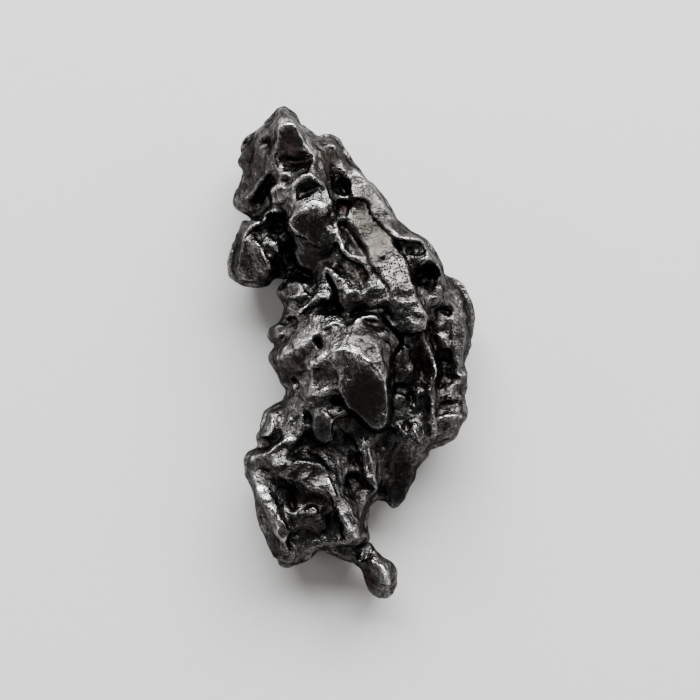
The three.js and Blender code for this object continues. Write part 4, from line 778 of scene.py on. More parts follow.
def lattice_noise(axes: tuple[np.ndarray, ...], cell: float, seed: int) -> np.ndarray:
    """Smooth noise between -1 and 1: random values on a coarse lattice, eased between its points.

    Args:
        axes: the grid's coordinates on each axis.
        cell: the lattice spacing.
        seed: the number that fixes the random values.

    Returns:
        The noise on the grid, one axis for each coordinate list.
    """
    spans = [int((a[-1] - a[0]) / cell) + 3 for a in axes]
    values = np.random.default_rng(seed).uniform(-1, 1, spans).astype(np.float32)
    for axis, a in enumerate(axes):
        u = (a - a[0]) / cell
        low = np.minimum(u.astype(int), spans[axis] - 2)
        t = ease(u - low).astype(np.float32)
        t = t.reshape([-1 if i == axis else 1 for i in range(len(axes))])
        values = values.take(low, axis=axis) * (1 - t) + values.take(low + 1, axis=axis) * t
    return values


def spot_noise(u: np.ndarray, v: np.ndarray, seed: int, lattice: int = 128) -> np.ndarray:
    """Smooth noise between -1 and 1 at any places in plan, with a lattice spacing of one.

    Args:
        u: places across, in lattice spacings.
        v: places along.
        seed: the number that fixes the random values.
        lattice: the lattice points on each side, after which the noise repeats.

    Returns:
        The noise at the places: the four lattice values round each, eased between them.
    """
    values = np.random.default_rng(seed).uniform(-1, 1, (lattice, lattice))
    i, j = np.floor(u).astype(int), np.floor(v).astype(int)
    s, t = ease(u - i), ease(v - j)
    i, j, k, m = i % lattice, j % lattice, (i + 1) % lattice, (j + 1) % lattice
    return (values[i, j] * (1 - s) * (1 - t) + values[k, j] * s * (1 - t) + values[i, m] * (1 - s) * t
            + values[k, m] * s * t)


def leg_distance(x: np.ndarray, y: np.ndarray, start: np.ndarray, end: np.ndarray) -> np.ndarray:
    """Distance in plan from places to one straight leg of a line.

    It is measured to start + t * (end - start), with t the place's share of the way, from 0 to 1.

    Args:
        x: places across.
        y: places along.
        start: the leg's first end, x and y first.
        end: its last end.

    Returns:
        The distances.
    """
    (ax, ay), (bx, by) = start[:2], end[:2]
    ex, ey = bx - ax, by - ay
    t = np.clip(((x - ax) * ex + (y - ay) * ey) / (ex * ex + ey * ey + TINY), 0, 1)
    return np.hypot(x - ax - t * ex, y - ay - t * ey)


def soft_max(a: np.ndarray, b: np.ndarray, melt: float) -> np.ndarray:
    """The larger of two distances, with their corner rounded.

    It is max(a, b) + max(melt - |a - b|, 0)^2 / (4 melt).

    Args:
        a: one distance.
        b: the other.
        melt: the width of the rounding.

    Returns:
        The joined distance.
    """
    return np.maximum(a, b) + np.maximum(melt - np.abs(a - b), 0) ** 2 / (4 * melt)


@dataclass(frozen=True)
class Noise:
    """One layer of smooth noise.

    Args:
        amount: its strength.
        cell: its lattice spacing.
        seed: the number that fixes its random values.
    """

    amount: float
    cell: float
    seed: int

    def over(self, axes: tuple[np.ndarray, ...]) -> np.ndarray:
        """The layer on a grid: amount * noise."""
        return self.amount * lattice_noise(axes, self.cell, self.seed)

    def folded(self, axes: tuple[np.ndarray, ...]) -> np.ndarray:
        """The layer on a grid with its dips turned up: amount * |noise|."""
        return self.amount * np.abs(lattice_noise(axes, self.cell, self.seed))


@dataclass
class Relief:
    """The upper side and the rim in plan, on a fine flat grid.

    The height is a film stretched over the lines of the upper side. It is fixed on the lines, and everywhere
    else it is the mean of its four neighbours, found by relaxing a coarse grid first and then finer ones.

    Args:
        step: the grid's spacing.
        low: the grid's lowest corner in plan.
        high: its highest corner.
        blank: the height that the film has before it is stretched.
        passes: for each grid, how much coarser it is than the finest, and its rounds of relaxing.
        softenings: rounds of light smoothing at the end.
    """

    step: float = 0.1
    low: Point = (-16.0, -30.0)
    high: Point = (16.0, 30.0)
    blank: float = 9.0
    passes: tuple[tuple[int, int], ...] = ((4, 400), (2, 300), (1, 260))
    softenings: int = 3
    rim: np.ndarray = dataclasses.field(init=False)
    height: np.ndarray = dataclasses.field(init=False)
    inward: np.ndarray = dataclasses.field(init=False)

    def __post_init__(self) -> None:
        """Stretch the film and measure the distance to the rim."""
        self.rim = smooth_line(RIM + RIM[:1], 3)
        self.height = self._stretch()
        self.inward = self._rim_distance()

    def _axes(self, step: float) -> tuple[np.ndarray, np.ndarray]:
        """Coordinates of the grid's points on each axis, at a spacing."""
        return (np.arange(self.low[0], self.high[0] + step / 2, step),
                np.arange(self.low[1], self.high[1] + step / 2, step))

    def _stretch(self) -> np.ndarray:
        """Relax the film on three grids, each twice as fine as the last.

        Returns:
            The height on the finest grid.
        """
        film: np.ndarray | None = None
        for level, rounds in self.passes:
            step = self.step * level
            xs, ys = self._axes(step)
            walks = [evenly(smooth_line(line), step * 0.4) for region in SURFACE_LINES for line in region]
            walks.append(evenly(self.rim, step * 0.4))
            p = np.vstack(walks)
            cell = tuple(np.round((p[:, i] - axis[0]) / step).astype(int) for i, axis in enumerate((xs, ys)))
            total = np.zeros((len(xs), len(ys)))
            count = np.zeros_like(total)
            np.add.at(total, cell, p[:, 2])
            np.add.at(count, cell, 1)
            held = count > 0
            value = total / np.maximum(count, 1)
            if film is None:
                film = np.full(total.shape, self.blank)
            else:
                film = self._resample(film, step * 2, xs, ys)
            film = np.where(held, value, film)
            for _ in range(rounds):
                film = np.where(held, value, four_round(film) * 0.25)
        for _ in range(self.softenings):
            film = film * 0.5 + four_round(film) * 0.125
        return film

    def _resample(self, grid: np.ndarray, step: float, xs: np.ndarray, ys: np.ndarray) -> np.ndarray:
        """Read a grid of another spacing, linear between its cells.

        Args:
            grid: the grid to read.
            step: its spacing.
            xs: coordinates across.
            ys: coordinates along.

        Returns:
            The values at every pair of the two.
        """
        u = np.clip((xs - self.low[0]) / step, 0, grid.shape[0] - 1.001)
        v = np.clip((ys - self.low[1]) / step, 0, grid.shape[1] - 1.001)
        i, j = u.astype(int), v.astype(int)
        s, t = (u - i)[:, None], (v - j)[None, :]
        return (grid[i][:, j] * (1 - s) * (1 - t) + grid[i + 1][:, j] * s * (1 - t)
                + grid[i][:, j + 1] * (1 - s) * t + grid[i + 1][:, j + 1] * s * t)

    def _rim_distance(self) -> np.ndarray:
        """Distance to the rim in plan, negative inside it.

        Returns:
            The distance on a grid of twice the film's spacing, read back on the film's own grid.
        """
        step = self.step * 2
        xs, ys = self._axes(step)
        x, y = np.meshgrid(xs, ys, indexing="ij")
        near = np.full(x.shape, FAR)
        inside = np.zeros(x.shape, bool)
        corner = self.rim[:, :2]
        for (ax, ay), (bx, by) in zip(corner[:-1], corner[1:]):
            ex, ey = bx - ax, by - ay
            t = np.clip(((x - ax) * ex + (y - ay) * ey) / (ex * ex + ey * ey + TINY), 0, 1)
            near = np.minimum(near, (x - ax - t * ex) ** 2 + (y - ay - t * ey) ** 2)
            inside ^= ((ay > y) != (by > y)) & (x < ax + ex * (y - ay) / (ey if ey else TINY))
        return self._resample(np.where(inside, -np.sqrt(near), np.sqrt(near)), step, *self._axes(self.step))

    def read(self, grid: np.ndarray, x: np.ndarray, y: np.ndarray) -> np.ndarray:
        """Read one of the flat grids along two axes.

        Args:
            grid: the grid to read.
            x: coordinates on the first axis.
            y: coordinates on the second.

        Returns:
            The values at every pair of the two.
        """
        return self._resample(grid, self.step, x, y)


def patch_mask(ovals: tuple[Patch, ...], x: np.ndarray, y: np.ndarray) -> np.ndarray:
    """Sum soft ovals: each is its amount times exp(-r^4), with r the place measured in its own half sizes.

    Args:
        ovals: the patches.
        x: places across.
        y: places along.

    Returns:
        The sum, at most 1.
    """
    total = np.zeros(np.broadcast(x, y).shape)
    for p in ovals:
        c, s = math.cos(math.radians(p.turn)), math.sin(math.radians(p.turn))
        u = ((x - p.x) * c - (y - p.y) * s) / p.a
        v = ((x - p.x) * s + (y - p.y) * c) / p.b
        total += p.amount * np.exp(-(u * u + v * v) ** 2)
    return np.clip(total, 0, 1)


def streak_mask(edges: Edges, x: np.ndarray, y: np.ndarray, margin: float = 1.0,
                spread: float = 1.4) -> np.ndarray:
    """Painted highlight streaks along edges.

    Each is exp(-(distance to the edge in plan / (half width * spread))^2), and the brightest one counts.

    Args:
        edges: the lines and the half widths of their streaks.
        x: places across.
        y: places along.
        margin: how far past its line's box a streak is worked out.
        spread: how much wider than its half width a streak fades.

    Returns:
        The strength of the streaks, from 0 to 1.
    """
    best = np.zeros(x.shape)
    for points, half in edges:
        line = smooth_line(points, 3)
        low, high = line.min(axis=0) - margin, line.max(axis=0) + margin
        box = (x > low[0]) & (x < high[0]) & (y > low[1]) & (y < high[1])
        px, py = x[box], y[box]
        near = np.full(px.shape, FAR)
        for start, end in zip(line[:-1], line[1:]):
            near = np.minimum(near, leg_distance(px, py, start, end))
        best[box] = np.maximum(best[box], np.exp(-(near / (half * spread)) ** 2))
    return best


@dataclass(frozen=True)
class IronFinish:
    """Shades of torn and weathered iron, and how rough it is.

    The shades run from the black of painted shade in the gaps to the white of painted highlights on the
    edges, with rust and a sandy crust besides. Weights say how much each mask lightens or darkens the metal,
    and height_ends what each mask multiplies the grain's height by. The darkening of the hollows, the deep
    gaps, the dim patches and the steep sides is painted shade, and the bright patches are painted light. A
    swing is how much a mottle shows, on top and on the flank. A grain is its fineness and its bite. The
    relief is the depth of the bump, in metres.
    """

    # The darkest tone, painted shade in the gaps.
    shadow_black: Point = (0.008, 0.007, 0.006)
    dark: Point = (0.028, 0.026, 0.024)
    plain: Point = (0.066, 0.064, 0.062)
    light: Point = (0.205, 0.201, 0.197)
    # The palest tone, the painted highlights on the crest edges.
    worn: Point = (0.74, 0.73, 0.72)
    stain: Point = (0.058, 0.038, 0.032)
    sand: Point = (0.066, 0.060, 0.052)
    rough_hollow: float = 0.40
    rough_crest: float = 0.15
    edge_tint: Point = (0.3, 0.3, 0.3)
    fine_grain: Point = (3300.0, 0.08)
    coarse_grain: Point = (1050.0, 0.04)
    streak_turn: float = -38.0
    streak_scale: Point = (2600.0, 420.0, 1400.0)
    pore_scale: float = 3100.0
    relief: float = 0.00014
    tone_places: Point = (0.2, 0.45, 0.72)
    middle: float = 0.50
    # Weights on the shade: hollow, deep, dim and side darken with painted shade, bright lifts with painted
    # light.
    weights: tuple[tuple[str, float], ...] = (
        ("crest", 0.14), ("hollow", -0.20), ("deep", -0.10), ("painted_light", 0.20), ("dim", -0.26),
        ("side", -0.07),
    )
    # How much the painted highlights along the crest edges lighten the metal, and how the mottle spreads
    # them.
    highlight_gain: float = 0.42
    highlight_spread: Point = (0.05, 1.25)
    coarse_swing: Point = (0.28, 0.14)
    fine_swing: Point = (0.26, 0.10)
    streak_swing: float = 0.25
    pore_shade: float = -0.85
    rough_swing: float = 0.12
    rough_sand: float = 0.16
    rough_side: float = -0.09
    coarse_height: float = 1.2
    streak_height: float = 0.7
    height_ends: tuple[tuple[str, float], ...] = (("calm", 0.3), ("painted_light", 1.6), ("side", 0.5))
    pore_height: float = -1.6


@dataclass(frozen=True)
class PaperFinish:
    """The pale sheet that the fragment lies on: its shade, its darker spots, its grain and its faint bump."""

    shade: Point = (0.76, 0.75, 0.74)
    fade: float = 0.97
    roughness: float = 0.85
    grain: Point = (900.0, 0.1)
    relief: float = 0.00005
    strength: float = 0.15


@dataclass(frozen=True)
class Nodes:
    """Adds nodes to one node tree and joins them.

    Args:
        tree: the tree that the nodes go into.
    """

    tree: bpy.types.NodeTree

    def add(self, kind: str, **values: object) -> bpy.types.Node:
        """Add one node.

        Args:
            kind: the node's type name.
            values: its properties.

        Returns:
            The node.
        """
        node = self.tree.nodes.new(kind)
        for key, value in values.items():
            setattr(node, key, value)
        return node

    def feed(self, socket: bpy.types.NodeSocket, value: object) -> None:
        """Join an output to a socket, or set the socket.

        Args:
            socket: the input to feed.
            value: an output, a number or a colour.
        """
        if isinstance(value, bpy.types.NodeSocket):
            self.tree.links.new(value, socket)
        else:
            socket.default_value = value

    def maths(self, operation: str, a: object, b: object = 0.0, c: object = 0.0,
              clamp: bool = False) -> bpy.types.NodeSocket:
        """One step of arithmetic.

        Args:
            operation: the Math node's operation.
            a: first value or output.
            b: second value or output.
            c: third value or output.
            clamp: whether the result is kept between 0 and 1.

        Returns:
            The result's output.
        """
        node = self.add("ShaderNodeMath", operation=operation, use_clamp=clamp)
        for socket, value in zip(node.inputs, (a, b, c)):
            self.feed(socket, value)
        return node.outputs[0]

    def blend(self, amount: object, a: object, b: object) -> bpy.types.NodeSocket:
        """Mix two colours.

        Args:
            amount: the share of the second, a number or an output.
            a: the first colour.
            b: the second colour.

        Returns:
            The mixed colour's output.
        """
        node = self.add("ShaderNodeMix", data_type="RGBA")
        for index, value in ((0, amount), (6, a), (7, b)):
            self.feed(node.inputs[index], value)
        return node.outputs[2]

    def between(self, amount: object, a: float, b: float) -> bpy.types.NodeSocket:
        """Run from a to b as the amount goes from 0 to 1, and return the output."""
        return self.maths("MULTIPLY_ADD", amount, b - a, a)

    def attribute(self, name: str) -> bpy.types.NodeSocket:
        """Read one of the piece's own attributes and return its value."""
        return self.add("ShaderNodeAttribute", attribute_name=name).outputs["Fac"]


def colour(shade: Point) -> Point:
    """A shade with full alpha."""
    return (*shade, 1.0)


@dataclass(frozen=True)
class SurfaceGrain:
    """The shared grain of a surface: fine noise with crisp ridges over it.

    The ridges come from a broader noise, whose fineness is a share of the fine noise's. The contrast
    spreads the mottle about its middle.
    """

    detail: float = 2.0
    roughness: float = 0.55
    broad_share: float = 0.31
    broad_detail: float = 3.0
    broad_twist: float = 0.6
    ridge_fall: float = 5.0
    contrast: float = 2.2

    def group(self) -> bpy.types.NodeTree:
        """Build the node group.

        The height is the fine noise plus Bite * (1 - fall * |ridge noise - 0.5|).

        Returns:
            The group, with inputs Place, Fineness and Bite, and outputs Height and Mottle.
        """
        group = bpy.data.node_groups.new("surface grain", "ShaderNodeTree")
        ui = group.interface
        ui.new_socket("Place", in_out="INPUT", socket_type="NodeSocketVector")
        ui.new_socket("Fineness", in_out="INPUT", socket_type="NodeSocketFloat").default_value = 1000.0
        ui.new_socket("Bite", in_out="INPUT", socket_type="NodeSocketFloat").default_value = 0.5
        ui.new_socket("Height", in_out="OUTPUT", socket_type="NodeSocketFloat")
        ui.new_socket("Mottle", in_out="OUTPUT", socket_type="NodeSocketFloat")
        n = Nodes(group)
        given = n.add("NodeGroupInput")
        put = n.add("NodeGroupOutput")
        fine = n.add("ShaderNodeTexNoise", noise_dimensions="3D")
        n.feed(fine.inputs["Vector"], given.outputs["Place"])
        n.feed(fine.inputs["Scale"], given.outputs["Fineness"])
        fine.inputs["Detail"].default_value = self.detail
        fine.inputs["Roughness"].default_value = self.roughness
        broad = n.add("ShaderNodeTexNoise", noise_dimensions="3D")
        n.feed(broad.inputs["Vector"], given.outputs["Place"])
        n.feed(broad.inputs["Scale"], n.maths("MULTIPLY", given.outputs["Fineness"], self.broad_share))
        broad.inputs["Detail"].default_value = self.broad_detail
        broad.inputs["Distortion"].default_value = self.broad_twist
        ridge = n.maths("ABSOLUTE", n.maths("SUBTRACT", broad.outputs["Fac"], 0.5))
        crisp = n.maths("SUBTRACT", 1.0, n.maths("MULTIPLY", ridge, self.ridge_fall, clamp=True))
        height = n.maths("MULTIPLY_ADD", crisp, given.outputs["Bite"], fine.outputs["Fac"])
        n.feed(put.inputs["Height"], height)
        swing = n.maths("SUBTRACT", fine.outputs["Fac"], 0.5)
        n.feed(put.inputs["Mottle"], n.maths("MULTIPLY_ADD", swing, self.contrast, 0.5, clamp=True))
        return group


@dataclass(frozen=True)
class Grit:
    """The small lumps and drawn-out ribs of the upper side.

    A broad noise, the choice, decides which of the two sets of ribs shows. Each set has a turn in degrees
    and a seed, and rib_size is its lattice spacing across and along. The mean keeps the crests near nought
    on the whole.
    """

    lumps: tuple[Noise, ...] = (Noise(0.15, 1.25, 11), Noise(0.13, 0.6, 12))
    choice: Noise = Noise(1.6, 4.5, 13)
    rib: float = 0.13
    rib_size: Point = (0.55, 2.6)
    ribs: tuple[tuple[float, int], ...] = ((-38.0, 14), (28.0, 15))
    mean: float = 0.7

    def _crests(self, u: np.ndarray, v: np.ndarray, seed: int) -> np.ndarray:
        """Sharp-crested noise: mean - 2 * |noise|."""
        return self.mean - 2 * np.abs(spot_noise(u, v, seed))

    def height(self, x: np.ndarray, y: np.ndarray) -> np.ndarray:
        """Sum the lumps and the two sets of ribs, which share the skin between them.

        Args:
            x: coordinates across.
            y: coordinates along.

        Returns:
            The height to add, in millimetres.
        """
        gx, gy = np.meshgrid(x, y, indexing="ij")
        total = np.zeros(gx.shape)
        for layer in self.lumps:
            total += layer.amount * self._crests(gx / layer.cell, gy / layer.cell, layer.seed)
        broad = spot_noise(gx / self.choice.cell, gy / self.choice.cell, self.choice.seed)
        share = np.clip(0.5 + self.choice.amount * broad, 0, 1)
        wide, long = self.rib_size
        for (angle, seed), part in zip(self.ribs, (share, 1 - share)):
            c, s = math.cos(math.radians(angle)), math.sin(math.radians(angle))
            across, along = gx * c - gy * s, gx * s + gy * c
            total += self.rib * part * self._crests(across / wide, along / long, seed)
        return total.astype(np.float32)


@dataclass(frozen=True)
class Flank:
    """The side of the fragment, from the rim down to the table.

    It draws in under the rim by the tuck, which wavers round the rim, starts at tuck_top and grows by
    tuck_curve. It carries scallops, lumps and chips, and stands proud again to make up for them. The melt
    is how round the edge between it and the upper side is.
    """

    tuck: float = 2.6
    waver: Noise = Noise(1.2, 6.0, 23)
    tuck_top: float = 6.6
    tuck_curve: float = 1.7
    swell: Noise = Noise(0.5, 3.4, 21)
    lumps: Noise = Noise(0.2, 1.5, 22)
    chips: Noise = Noise(0.28, 0.95, 24)
    proud: float = 0.44
    melt: float = 0.2

    def distance(self, rim: np.ndarray, x: np.ndarray, y: np.ndarray, z: np.ndarray) -> np.ndarray:
        """Distance to the flank, negative inside it.

        It is the distance to the rim in plan, plus tuck * (1 - z / top)^curve, plus the noise, less the
        proud part.

        Args:
            rim: the distance to the rim in plan.
            x: coordinates across.
            y: coordinates along.
            z: heights.

        Returns:
            The distance on the whole grid.
        """
        fall = np.clip(1 - z[None, None, :] / self.tuck_top, 0, 1) ** self.tuck_curve
        tuck = (self.tuck + self.waver.over((x, y)))[:, :, None] * fall
        axes = (x, y, z)
        return (rim[:, :, None] + tuck + self.swell.folded(axes) + self.lumps.over(axes)
                + self.chips.folded(axes) - self.proud)


@dataclass(frozen=True)
class Floor:
    """The underside: a bumpy sheet that dips to low feet, rubbed down.

    Each foot has a middle and half sizes in plan. It reaches below the table by foot_depth before it is cut
    flat, and foot_edge is how steep its side is. The melt is how round the edge between floor and flank is.
    """

    rise: float = 1.15
    waves: Noise = Noise(0.75, 5.2, 31)
    hollows: Noise = Noise(0.5, 2.3, 32)
    lumps: Noise = Noise(0.25, 1.5, 22)
    feet: Lines = (
        ((8.33, -2.96), (3.4, 2.8)), ((-5.5, -16.7), (2.9, 2.4)), ((-7.85, 20.0), (2.5, 2.4)),
        ((4.35, 12.0), (2.2, 2.2)),
    )
    foot_depth: float = 0.35
    foot_edge: float = 1.5
    melt: float = 0.8

    def height(self, x: np.ndarray, y: np.ndarray, z: np.ndarray) -> np.ndarray:
        """Height of the floor, which a foot blends to its depth by exp(-r^(2 * edge)), r in its half sizes.

        Args:
            x: coordinates across.
            y: coordinates along.
            z: heights.

        Returns:
            The floor's height on the whole grid.
        """
        sheet = self.rise + self.waves.over((x, y)) - self.hollows.folded((x, y))
        for (fx, fy), (fa, fb) in self.feet:
            spread = ((x[:, None] - fx) / fa) ** 2 + ((y[None, :] - fy) / fb) ** 2
            near = np.exp(-spread ** self.foot_edge)
            sheet = sheet * (1 - near) - self.foot_depth * near
        return sheet[:, :, None] + self.lumps.over((x, y, z))


@dataclass
class Meteorite:
    """The fragment: its shape, its mesh and its finish.

    It stands for the frame's node. Its length in its own millimetres is what the frame's box scales, and
    the shift brings the middle of the rim to the origin. The distance field fills the box between its two
    corners. The folds and nicks lie in the steep places, and calm_grit and calm_folds say how much of each
    the smooth places keep or lose. A split tapers to its ends. The three reaches are the half widths of the
    spaces that tell a crest, a hollow and a deep gap.
    """

    finish: IronFinish
    grain: bpy.types.NodeTree
    node: str = "meteorite"
    length: float = 54.5
    shift: Point = (0.1, 0.05)
    low_corner: Point = (-15.0, -29.0, -1.2)
    high_corner: Point = (15.0, 29.0, 21.4)
    cell: float = 0.17
    most_triangles: int = 190_000
    just_inside: float = 0.02
    grit: Grit = Grit()
    flank: Flank = Flank()
    floor: Floor = Floor()
    steepest: float = 3.0
    calm_grit: float = 0.15
    folds: Noise = Noise(0.42, 1.7, 43)
    nicks: Noise = Noise(0.24, 0.85, 41)
    fold_proud: float = 0.14
    calm_folds: float = 0.8
    settling: float = 0.6
    reach: float = 1.0
    taper: float = 0.8
    least_taper: float = 0.25
    pit_melt: float = 0.25
    near_reach: float = 0.35
    mid_reach: float = 0.8
    wide_reach: float = 2.2
    low: Vector = dataclasses.field(init=False)
    high: Vector = dataclasses.field(init=False)
    scale: float = dataclasses.field(init=False)
    axes: tuple[np.ndarray, ...] = dataclasses.field(init=False)
    field: np.ndarray = dataclasses.field(init=False)

    def __post_init__(self) -> None:
        """Read the node's box, and work out the scale and the field's axes."""
        low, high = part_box(self.node)
        self.low, self.high = Vector(low), Vector(high)
        self.scale = (self.high.y - self.low.y) / self.length
        ends = zip(self.low_corner, self.high_corner)
        self.axes = tuple(np.arange(a, b + self.cell, self.cell) for a, b in ends)

    def build(self) -> bpy.types.Object:
        """Make the fragment and put it in its place.

        Returns:
            The finished object.
        """
        self._lay_field(Relief())
        corners, faces = self._skin()
        corners, faces = self._keep_largest(corners, faces)
        LOG.info("skin: %d corners, %d faces", len(corners), len(faces))
        piece = self._mesh(corners, faces)
        self._thin(piece)
        self._note_marks(piece)
        piece.data.materials.append(self._iron())
        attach(piece, "root")
        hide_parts(self.node)
        return piece

    def _lay_field(self, relief: Relief) -> None:
        """Fill the distance field: top, flank and floor joined, then folded, cut and smoothed.

        The distance to the top is (z - height) over the length of the film's slope. The folds are added
        where the film is steep, from a slope of 1.3 up to 2.5.

        Args:
            relief: the film and the rim.
        """
        x, y, z = (a.astype(np.float32) for a in self.axes)
        heights = z[None, None, :]
        film = relief.read(relief.height, x, y).astype(np.float32)
        rim = relief.read(relief.inward, x, y).astype(np.float32)
        calm = patch_mask(SMOOTH, x[:, None], y[None, :]).astype(np.float32)
        film += (self.calm_grit + (1 - self.calm_grit) * (1 - calm)) * self.grit.height(x, y)
        across, along = np.gradient(film, self.cell, axis=0), np.gradient(film, self.cell, axis=1)
        slope = np.sqrt(1 + np.minimum(across ** 2 + along ** 2, self.steepest ** 2))
        field = (heights - film[:, :, None]) / slope[:, :, None]
        field = soft_max(field, self.flank.distance(rim, x, y, z), self.flank.melt)
        field = soft_max(field, self.floor.height(x, y, z) - heights, self.floor.melt)
        steep = np.clip((slope - 1.3) / 1.2, 0.14, 1)[:, :, None]
        folds = self.folds.folded((x, y, z)) + self.nicks.folded((x, y, z)) - self.fold_proud
        field += steep * folds * (1 - self.calm_folds * calm[:, :, None])
        for mark in MARKS:
            self._cut(field, film, mark)
        for axis in range(3):
            beside = np.roll(field, 1, axis) + np.roll(field, -1, axis)
            field = self.settling * field + 0.5 * (1 - self.settling) * beside
        self.field = np.maximum(field, -heights).astype(np.float32)
        self._close_pinches()

    def _close_pinches(self) -> None:
        """Fill the places where two folds would touch along one edge.

        The skin then has two faces at every edge. Such a place is a grid square with iron at two corners
        across a diagonal and none at the other two: the empty corners are made just inside, and the squares
        round them are looked at again until none is left.
        """
        found = True
        while found:
            found = False
            inside = self.field < 0
            for a, b in ((0, 1), (0, 2), (1, 2)):
                step_a, step_b = np.eye(3, dtype=int)[a], np.eye(3, dtype=int)[b]
                size = np.array(inside.shape) - step_a - step_b
                offsets = (np.zeros(3, dtype=int), step_a, step_b, step_a + step_b)
                c00, c10, c01, c11 = (
                    inside[tuple(slice(o, o + n) for o, n in zip(offset, size))] for offset in offsets)
                squares = np.argwhere((c00 == c11) & (c10 == c01) & (c00 != c10))
                for offset in offsets:
                    corner = tuple((squares + offset).T)
                    self.field[corner] = np.minimum(self.field[corner], -self.just_inside)
                found = found or len(squares) > 0

    def _cut(self, field: np.ndarray, film: np.ndarray, mark: Mark) -> None:
        """Take one mark out of the field, inside the box that it fills.

        A split takes away what is nearer to its line in plan than half its width and above its bottom. A
        pit takes away an egg: its distance is (|q| - 1) times its smallest half size, with q the place over
        the half sizes.

        Args:
            field: the field, changed in place.
            film: the height of the top in plan.
            mark: the mark.
        """
        x, y, z = self.axes
        reach = self.reach + max(mark.size[:2])
        p = np.array(mark.points)
        lo, hi = p[:, :2].min(axis=0) - reach, p[:, :2].max(axis=0) + reach
        i0, i1 = np.searchsorted(x, (lo[0], hi[0]))
        j0, j1 = np.searchsorted(y, (lo[1], hi[1]))
        gx, gy = x[i0:i1, None], y[None, j0:j1]
        part = field[i0:i1, j0:j1]
        if mark.tool is Tool.SPLIT:
            line = smooth_line(mark.points, 4)
            near = np.full(np.broadcast(gx, gy).shape, FAR)
            for start, end in zip(line[:-1], line[1:]):
                near = np.minimum(near, leg_distance(gx, gy, start, end))
            ends = (np.hypot(gx - end[0], gy - end[1]) for end in (line[0], line[-1]))
            fade = np.clip(np.minimum(*ends) / self.taper, self.least_taper, 1)
            width, depth = mark.size
            slot = (near - 0.5 * width * fade)[:, :, None]
            bottom = (film[i0:i1, j0:j1] - depth * fade)[:, :, None]
            part[...] = np.maximum(part, -np.maximum(slot, bottom - z[None, None, :]))
        else:
            (px, py, pz), (a, b, c) = p[0], mark.size
            s, k = math.sin(math.radians(mark.turn)), math.cos(math.radians(mark.turn))
            u = ((gx - px) * k + (gy - py) * s) / a
            v = ((gy - py) * k - (gx - px) * s) / b
            w = (z - pz) / c
            egg = (np.sqrt((u * u + v * v)[:, :, None] + (w * w)[None, None, :]) - 1) * min(mark.size)
            part[...] = soft_max(part, -egg, self.pit_melt)

    def _skin(self) -> tuple[np.ndarray, np.ndarray]:
        """Mesh the field's zero surface as a net.

        Every cell that the surface crosses gets one corner, at the mean of the crossings on its twelve edges.
        Every grid edge that the surface crosses gets one four-sided face between the cells round it.

        Returns:
            The corners, and the four corner numbers of each face, turned outwards.
        """
        f = self.field
        inside = f < 0
        shape = tuple(n - 1 for n in f.shape)
        count = np.zeros(shape, np.int8)
        offsets = [(i, j, k) for i in (0, 1) for j in (0, 1) for k in (0, 1)]
        for i, j, k in offsets:
            count += inside[i:i + shape[0], j:j + shape[1], k:k + shape[2]]
        cells = np.argwhere((count > 0) & (count < 8))
        number = np.full(shape, -1, np.int32)
        number[tuple(cells.T)] = np.arange(len(cells))
        value = {o: f[tuple((cells + o).T)] for o in offsets}
        total = np.zeros((len(cells), 3))
        hits = np.zeros(len(cells))
        for a in offsets:
            for axis in range(3):
                if a[axis]:
                    continue
                b = tuple(1 if i == axis else a[i] for i in range(3))
                va, vb = value[a], value[b]
                cross = (va < 0) != (vb < 0)
                t = np.where(cross, va / np.where(cross, va - vb, 1), 0)
                place = np.tile(np.array(a, float), (len(cells), 1))
                place[:, axis] = t
                total += place * cross[:, None]
                hits += cross
        corners = (cells + total / hits[:, None]) * self.cell + np.array([a[0] for a in self.axes])
        faces = []
        for axis in range(3):
            b, c = (axis + 1) % 3, (axis + 2) % 3
            lower = [slice(1, n - 1) for n in f.shape]
            upper = list(lower)
            lower[axis], upper[axis] = slice(0, f.shape[axis] - 1), slice(1, f.shape[axis])
            first, second = inside[tuple(lower)], inside[tuple(upper)]
            start = np.array([0 if i == axis else 1 for i in range(3)])
            for where, turned in ((first & ~second, False), (~first & second, True)):
                edge = np.argwhere(where) + start
                step_b, step_c = np.eye(3, dtype=int)[b], np.eye(3, dtype=int)[c]
                ring = [edge - step_b - step_c, edge - step_c, edge, edge - step_b]
                quad = np.stack([number[tuple(q.T)] for q in ring], axis=1)
                faces.append(quad[:, ::-1] if turned else quad)
        return corners, np.vstack(faces)

    def _keep_largest(self, corners: np.ndarray, faces: np.ndarray) -> tuple[np.ndarray, np.ndarray]:
        """Drop every skin but the one with the most corners.

        Each corner starts with its own number, and takes the smallest one among its neighbours until none
        changes.

        Args:
            corners: the corners.
            faces: the faces.

        Returns:
            The corners and faces of the largest skin.
        """
        label = np.arange(len(corners))
        while True:
            least = label[faces].min(axis=1)
            new = label.copy()
            for side in range(4):
                np.minimum.at(new, faces[:, side], least)
            new = new[new]
            if np.array_equal(new, label):
                break
            label = new
        names, sizes = np.unique(label, return_counts=True)
        keep = label == names[np.argmax(sizes)]
        number = np.cumsum(keep) - 1
        return corners[keep], number[faces[keep[faces[:, 0]]]]

    def _place(self, corners: np.ndarray) -> np.ndarray:
        """Bring fragment millimetres to the frame's metres, the middle of the rim over the box's middle.

        Args:
            corners: places in fragment millimetres.

        Returns:
            The places in metres.
        """
        middle = (self.low + self.high) / 2
        return (corners + (*self.shift, 0)) * self.scale + (middle.x, middle.y, self.low.z)

    def _mesh(self, corners: np.ndarray, faces: np.ndarray) -> bpy.types.Object:
        """Put corners and faces into a mesh object of the scene.

        Args:
            corners: the corners, in fragment millimetres.
            faces: the four corner numbers of each face.

        Returns:
            The object.
        """
        mesh = bpy.data.meshes.new("iron_fragment")
        mesh.from_pydata(self._place(corners).tolist(), [], faces.tolist())
        mesh.update()
        piece = bpy.data.objects.new("iron_fragment", mesh)
        bpy.context.scene.collection.objects.link(piece)
        return piece

